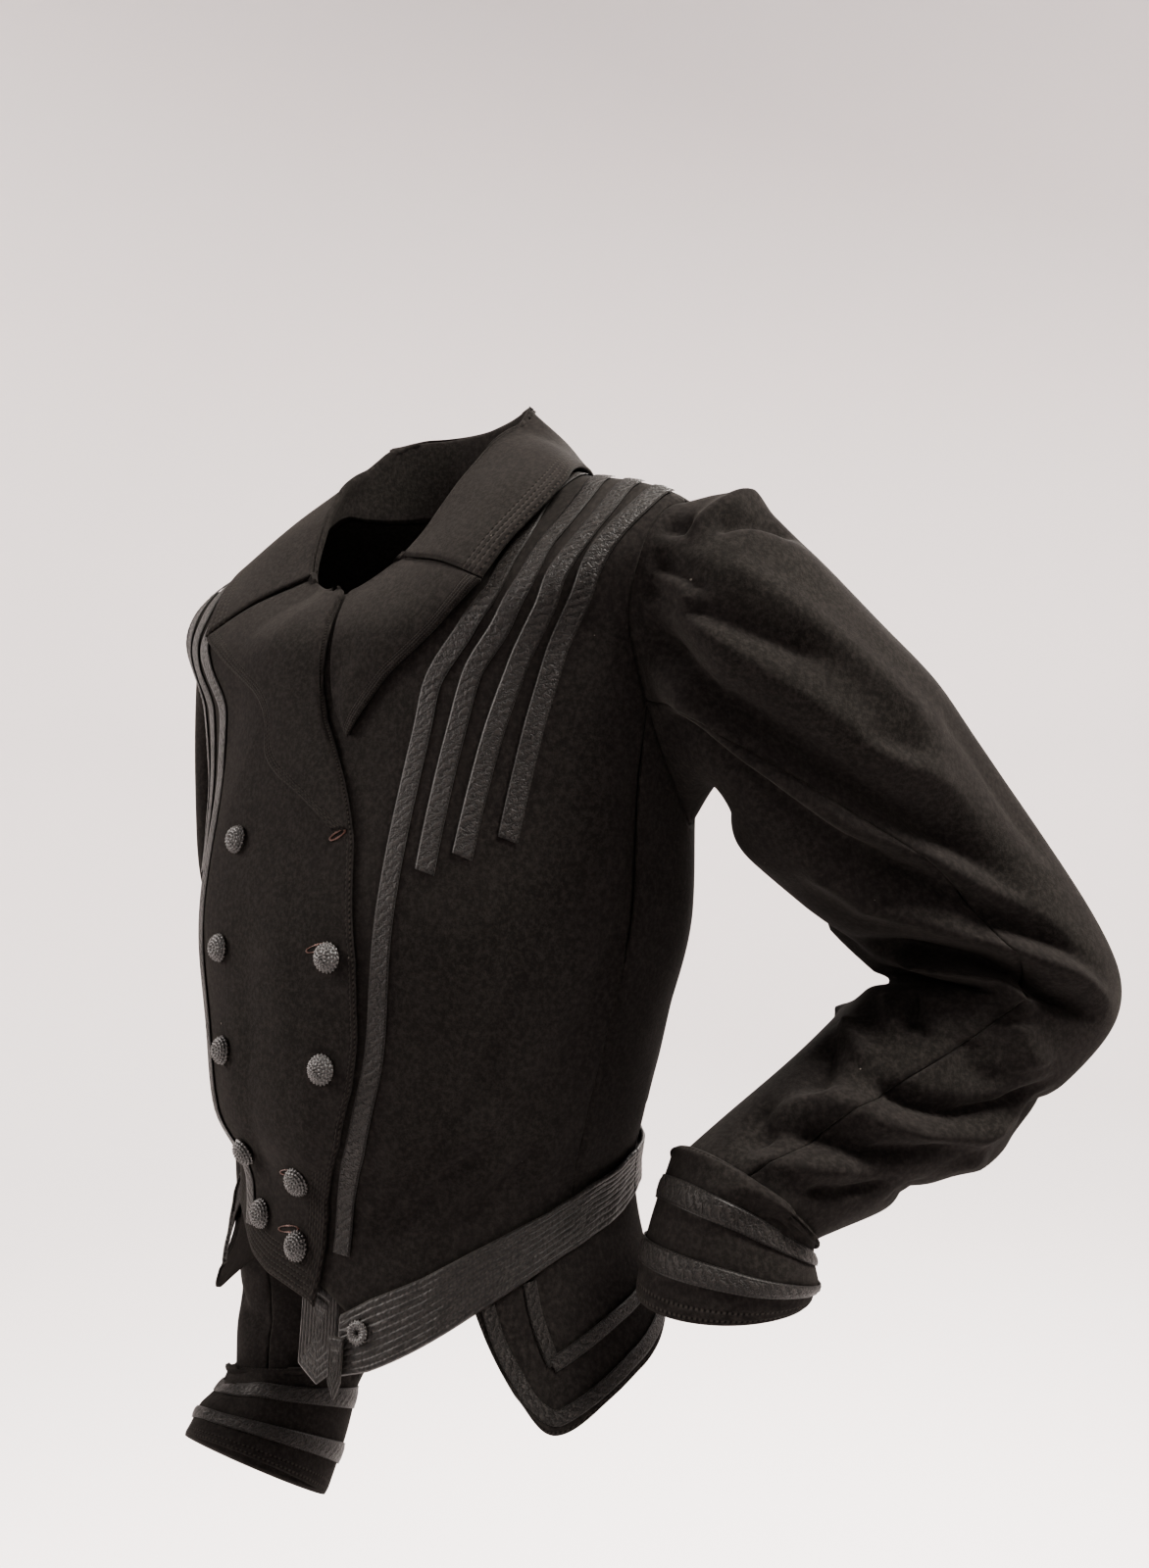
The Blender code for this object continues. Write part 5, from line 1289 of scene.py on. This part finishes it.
def tape_silk():
    nodes = Nodes("silk_tape", roughness=0.5, sheen=0.015, specular=0.13)
    along, across = nodes.mark("along"), nodes.mark("across")
    place = nodes.flat_place(nodes.times(along, 0.30), nodes.times(across, 2.2))
    crumple = nodes.noise(1.6, 3, 0.55, place)
    phase = nodes.total((along, 1 / 5.0), (across, 1.9), (crumple, 2.6))
    fold = nodes.math("ABSOLUTE", nodes.wave(phase, 2))
    from_middle = nodes.math("ABSOLUTE", across)
    middle = nodes.step(from_middle, 0.47, 0.40)
    # The crests of the crinkle folds are painted lighter, a painted highlight, over a random crumpled tone.
    ridge = nodes.times(nodes.step(fold, 0.70, 0.98), nodes.step(crumple, 0.3, 0.6))
    crumple_and_highlight = nodes.plus(nodes.times(crumple, 0.4), nodes.times(ridge, 0.7), clamp=True)
    # The seam grooves near the tape's edges are painted darker, as painted shade; the stitches are the
    # thread's own colour.
    groove = nodes.step(nodes.off(from_middle, 0.455), 0.04, 0.015)
    stitch = nodes.times(groove, nodes.step(nodes.wave(along, 1.9), -0.2, 0.5))
    colour = nodes.blend(nodes.times(crumple_and_highlight, middle), TAPE_DARK, TAPE_LIGHT_AND_HIGHLIGHT)
    colour = nodes.painted(colour, (groove, 0.8, GROOVE_SHADE), (stitch, 0.7, THREAD))
    creased = nodes.times(nodes.total((crumple, 1), (fold, 0.7)), middle)
    height = nodes.total((creased, 1.3), (nodes.noise(1900, 2), 0.12), (groove, -0.5))
    return nodes.finish(colour, height, 0.5 * MM)


def belt_cloth():
    nodes = Nodes("belt_cloth", roughness=0.5, sheen=0.02, specular=0.16)
    row, along = nodes.mark("row"), nodes.mark("along")
    place = nodes.flat_place(nodes.times(along, 0.24), row)
    cracks = nodes.cells(1.15, "DISTANCE_TO_EDGE", place)
    tone = nodes.step(nodes.noise(1.3, 3, 0.6, place), 0.3, 0.75)
    groove, stitch = nodes.thread(nodes.plus(row, 0.5), along, pitch=2.2)
    # The cracks and the stitch grooves are painted darker, as painted shade; the tone that changes along
    # the belt is its own.
    colour = nodes.painted(
        nodes.blend(tone, TAPE_DARK, TAPE_LIGHT_AND_HIGHLIGHT), (nodes.step(cracks, 0.14, 0.02), 0.75, GROOVE_SHADE),
        (groove, 0.5, GROOVE_SHADE), (stitch, 0.7, THREAD),
    )
    height = nodes.total((cracks, 1.5), (nodes.noise(1500, 2), 0.2), (groove, -0.6))
    return nodes.finish(colour, height, 0.5 * MM)


def thread_cloth(name, dark, light):
    nodes = Nodes(name, roughness=0.42, sheen=0.05, specular=0.5)
    strands = nodes.noise(900, 2, 0.5)
    # Raised loops are painted lighter, a painted highlight, and the low parts between them dark, as painted
    # shade; the uneven noise is the thread's own tone.
    loop_highlight = nodes.step(nodes.mark("row"), 0.05, 0.9)
    uneven = nodes.plus(nodes.noise(160, 3), 0.4)
    tone = nodes.math("MULTIPLY", loop_highlight, uneven, clamp=True)
    return nodes.finish(nodes.blend(tone, dark, light), strands, 0.3 * MM)


def make_materials():
    made = {"wool": wool(), "tape": tape_silk(), "belting": belt_cloth()}
    return made | {slot: thread_cloth(*colours) for slot, colours in THREAD_COLOURS.items()}


# The camera, lights and stage

SENSOR_MM, LENS_MM, NEAREST = 36, 25.875, 0.02
FLOOR_ROUGHNESS, FLOOR_SPECULAR, FLOOR_RINGS, FLOOR_SIDES = 0.95, 0.1, 60, 96
FLOOR_PROFILE = (  # radius and height of the floor, which rises into a wall all round
    (0.0005, 0), (1.2, 0), (2.0, 0.03), (2.7, 0.2), (3.2, 0.6), (3.5, 1.2), (3.6, 2.0), (3.6, 5.0),
)


def aimed(name, data, place, way):
    """An object at a place, which faces a way."""
    made = linked(name, data)
    made.location = place
    made.rotation_euler = Vector(way).to_track_quat("-Z", "Y").to_euler()
    return made


def make_camera():
    data = bpy.data.cameras.new("camera")
    data.sensor_width = SENSOR_MM
    data.lens = LENS_MM
    data.clip_start = NEAREST
    bpy.context.scene.camera = aimed("camera", data, EYE, LOOK)


def area_light(name, place, target, size, watts, colour):
    data = bpy.data.lights.new(name, "AREA")
    data.shape = "DISK"
    data.size = size
    data.energy = watts
    data.color = colour
    aimed(name, data, place, Vector(target) - Vector(place))


def make_world():
    bpy.context.scene.view_settings.look = "AgX - Medium High Contrast"
    world = bpy.data.worlds.new("studio")
    bpy.context.scene.world = world
    world.use_nodes = True
    back = world.node_tree.nodes["Background"]
    back.inputs["Color"].default_value = WORLD_COLOUR
    back.inputs["Strength"].default_value = WORLD_STRENGTH


def make_floor():
    """A pale floor that rises into a wall all round, so that no horizon shows."""
    pale = bpy.data.materials.new("pale_floor")
    pale.use_nodes = True
    shader = pale.node_tree.nodes["Principled BSDF"]
    shader.inputs["Base Color"].default_value = FLOOR_COLOUR
    shader.inputs["Roughness"].default_value = FLOOR_ROUGHNESS
    shader.inputs["Specular IOR Level"].default_value = FLOOR_SPECULAR
    profile = smooth(FLOOR_PROFILE, np.linspace(0, len(FLOOR_PROFILE) - 1, FLOOR_RINGS))
    radius, height = profile[:, :1], profile[:, 1:]
    turn = np.linspace(0, 2 * np.pi, FLOOR_SIDES, endpoint=False)[None, :]
    grid = np.stack([radius * np.cos(turn), radius * np.sin(turn), FLOOR_Z + height + 0 * turn], -1)
    faces = grid_faces(FLOOR_RINGS, FLOOR_SIDES, True, True)
    linked("floor", smooth_mesh("floor", grid.reshape(-1, 3), faces, pale))


# Flat sizes in metres, measured on the built pieces, and the tapes that go with a piece

Flat = namedtuple("Flat", "piece held width length area tapes")
FLAT = (
    Flat("front_left_cloth", "stretched", 0.265, 0.502, 0.0917, "tape_1 tape_2 tape_3 tape_4"),
    Flat("front_right_cloth", "stretched", 0.267, 0.500, 0.0908, "tape_1 tape_2 tape_3 tape_4"),
    Flat("back_left_cloth", "stretched", 0.226, 0.498, 0.0662, ""),
    Flat("back_right_cloth", "stretched", 0.224, 0.502, 0.0657, ""),
    Flat("side_left_cloth", "stretched", 0.116, 0.258, 0.0138, ""),
    Flat("side_right_cloth", "stretched", 0.118, 0.259, 0.0138, ""),
    Flat("collar_cloth", "folded", 0.131, 0.528, 0.0463, ""),
    Flat("lapel_left_cloth", "folded", 0.098, 0.134, 0.0067, ""),
    Flat("lapel_right_cloth", "folded", 0.098, 0.225, 0.0108, ""),
    Flat("belt_left_band", "stretched", 0.034, 0.192, 0.0051, ""),
    Flat("belt_right_band", "stretched", 0.032, 0.144, 0.0037, ""),
    Flat("belt_back_band", "stretched", 0.027, 0.297, 0.0073, ""),
    Flat("belt_tab_end_sewn", "hung", 0.036, 0.045, 0.00144, ""),
    Flat("belt_keeper_sewn", "hung", 0.010, 0.029, 0.00024, ""),
    Flat("sleeve_upper_left_cloth", "gathered", 0.294, 0.594, 0.1180, ""),
    Flat("sleeve_under_left_cloth", "gathered", 0.156, 0.482, 0.0456, ""),
    Flat("sleeve_upper_right_cloth", "gathered", 0.287, 0.604, 0.1111, ""),
    Flat("sleeve_under_right_cloth", "gathered", 0.152, 0.483, 0.0444, ""),
    Flat("cuff_left_cloth", "folded", 0.145, 0.261, 0.0223, "cuff_tape_1 cuff_tape_2"),
    Flat("cuff_right_cloth", "folded", 0.165, 0.304, 0.0357, "cuff_tape_1 cuff_tape_2"),
    Flat("peplum_left_cloth", "hung", 0.090, 0.132, 0.0086, "peplum_border peplum_v"),
    Flat("peplum_right_cloth", "hung", 0.090, 0.132, 0.0086, "peplum_border peplum_v"),
)


def declare_sheets():
    for row in FLAT:
        side = "left" if "left" in row.piece else "right"


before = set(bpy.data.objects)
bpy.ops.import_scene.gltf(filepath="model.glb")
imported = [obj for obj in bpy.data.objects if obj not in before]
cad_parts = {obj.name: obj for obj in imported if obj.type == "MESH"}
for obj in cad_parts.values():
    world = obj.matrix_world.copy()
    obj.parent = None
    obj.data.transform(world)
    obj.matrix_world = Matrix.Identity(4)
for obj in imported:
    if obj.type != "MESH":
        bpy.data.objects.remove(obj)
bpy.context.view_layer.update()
MATERIALS = make_materials()
make_camera()
make_world()
for light in LIGHTS:
    area_light(*light)
make_floor()
make_body()
left_end, right_end = make_collar()
make_lapel("left", 1, LEFT_LAPEL, left_end)
make_lapel("right", -1, RIGHT_LAPEL, right_end)
make_tapes()
make_belt()
make_buttons()
for arm in ARMS:
    make_sleeve(arm.side, arm.sections, arm.folds, arm.sign)
    make_cuff(arm.side, arm.sections, arm.cuff, arm.sign)
    make_peplum(arm.side, arm.sign)
declare_sheets()
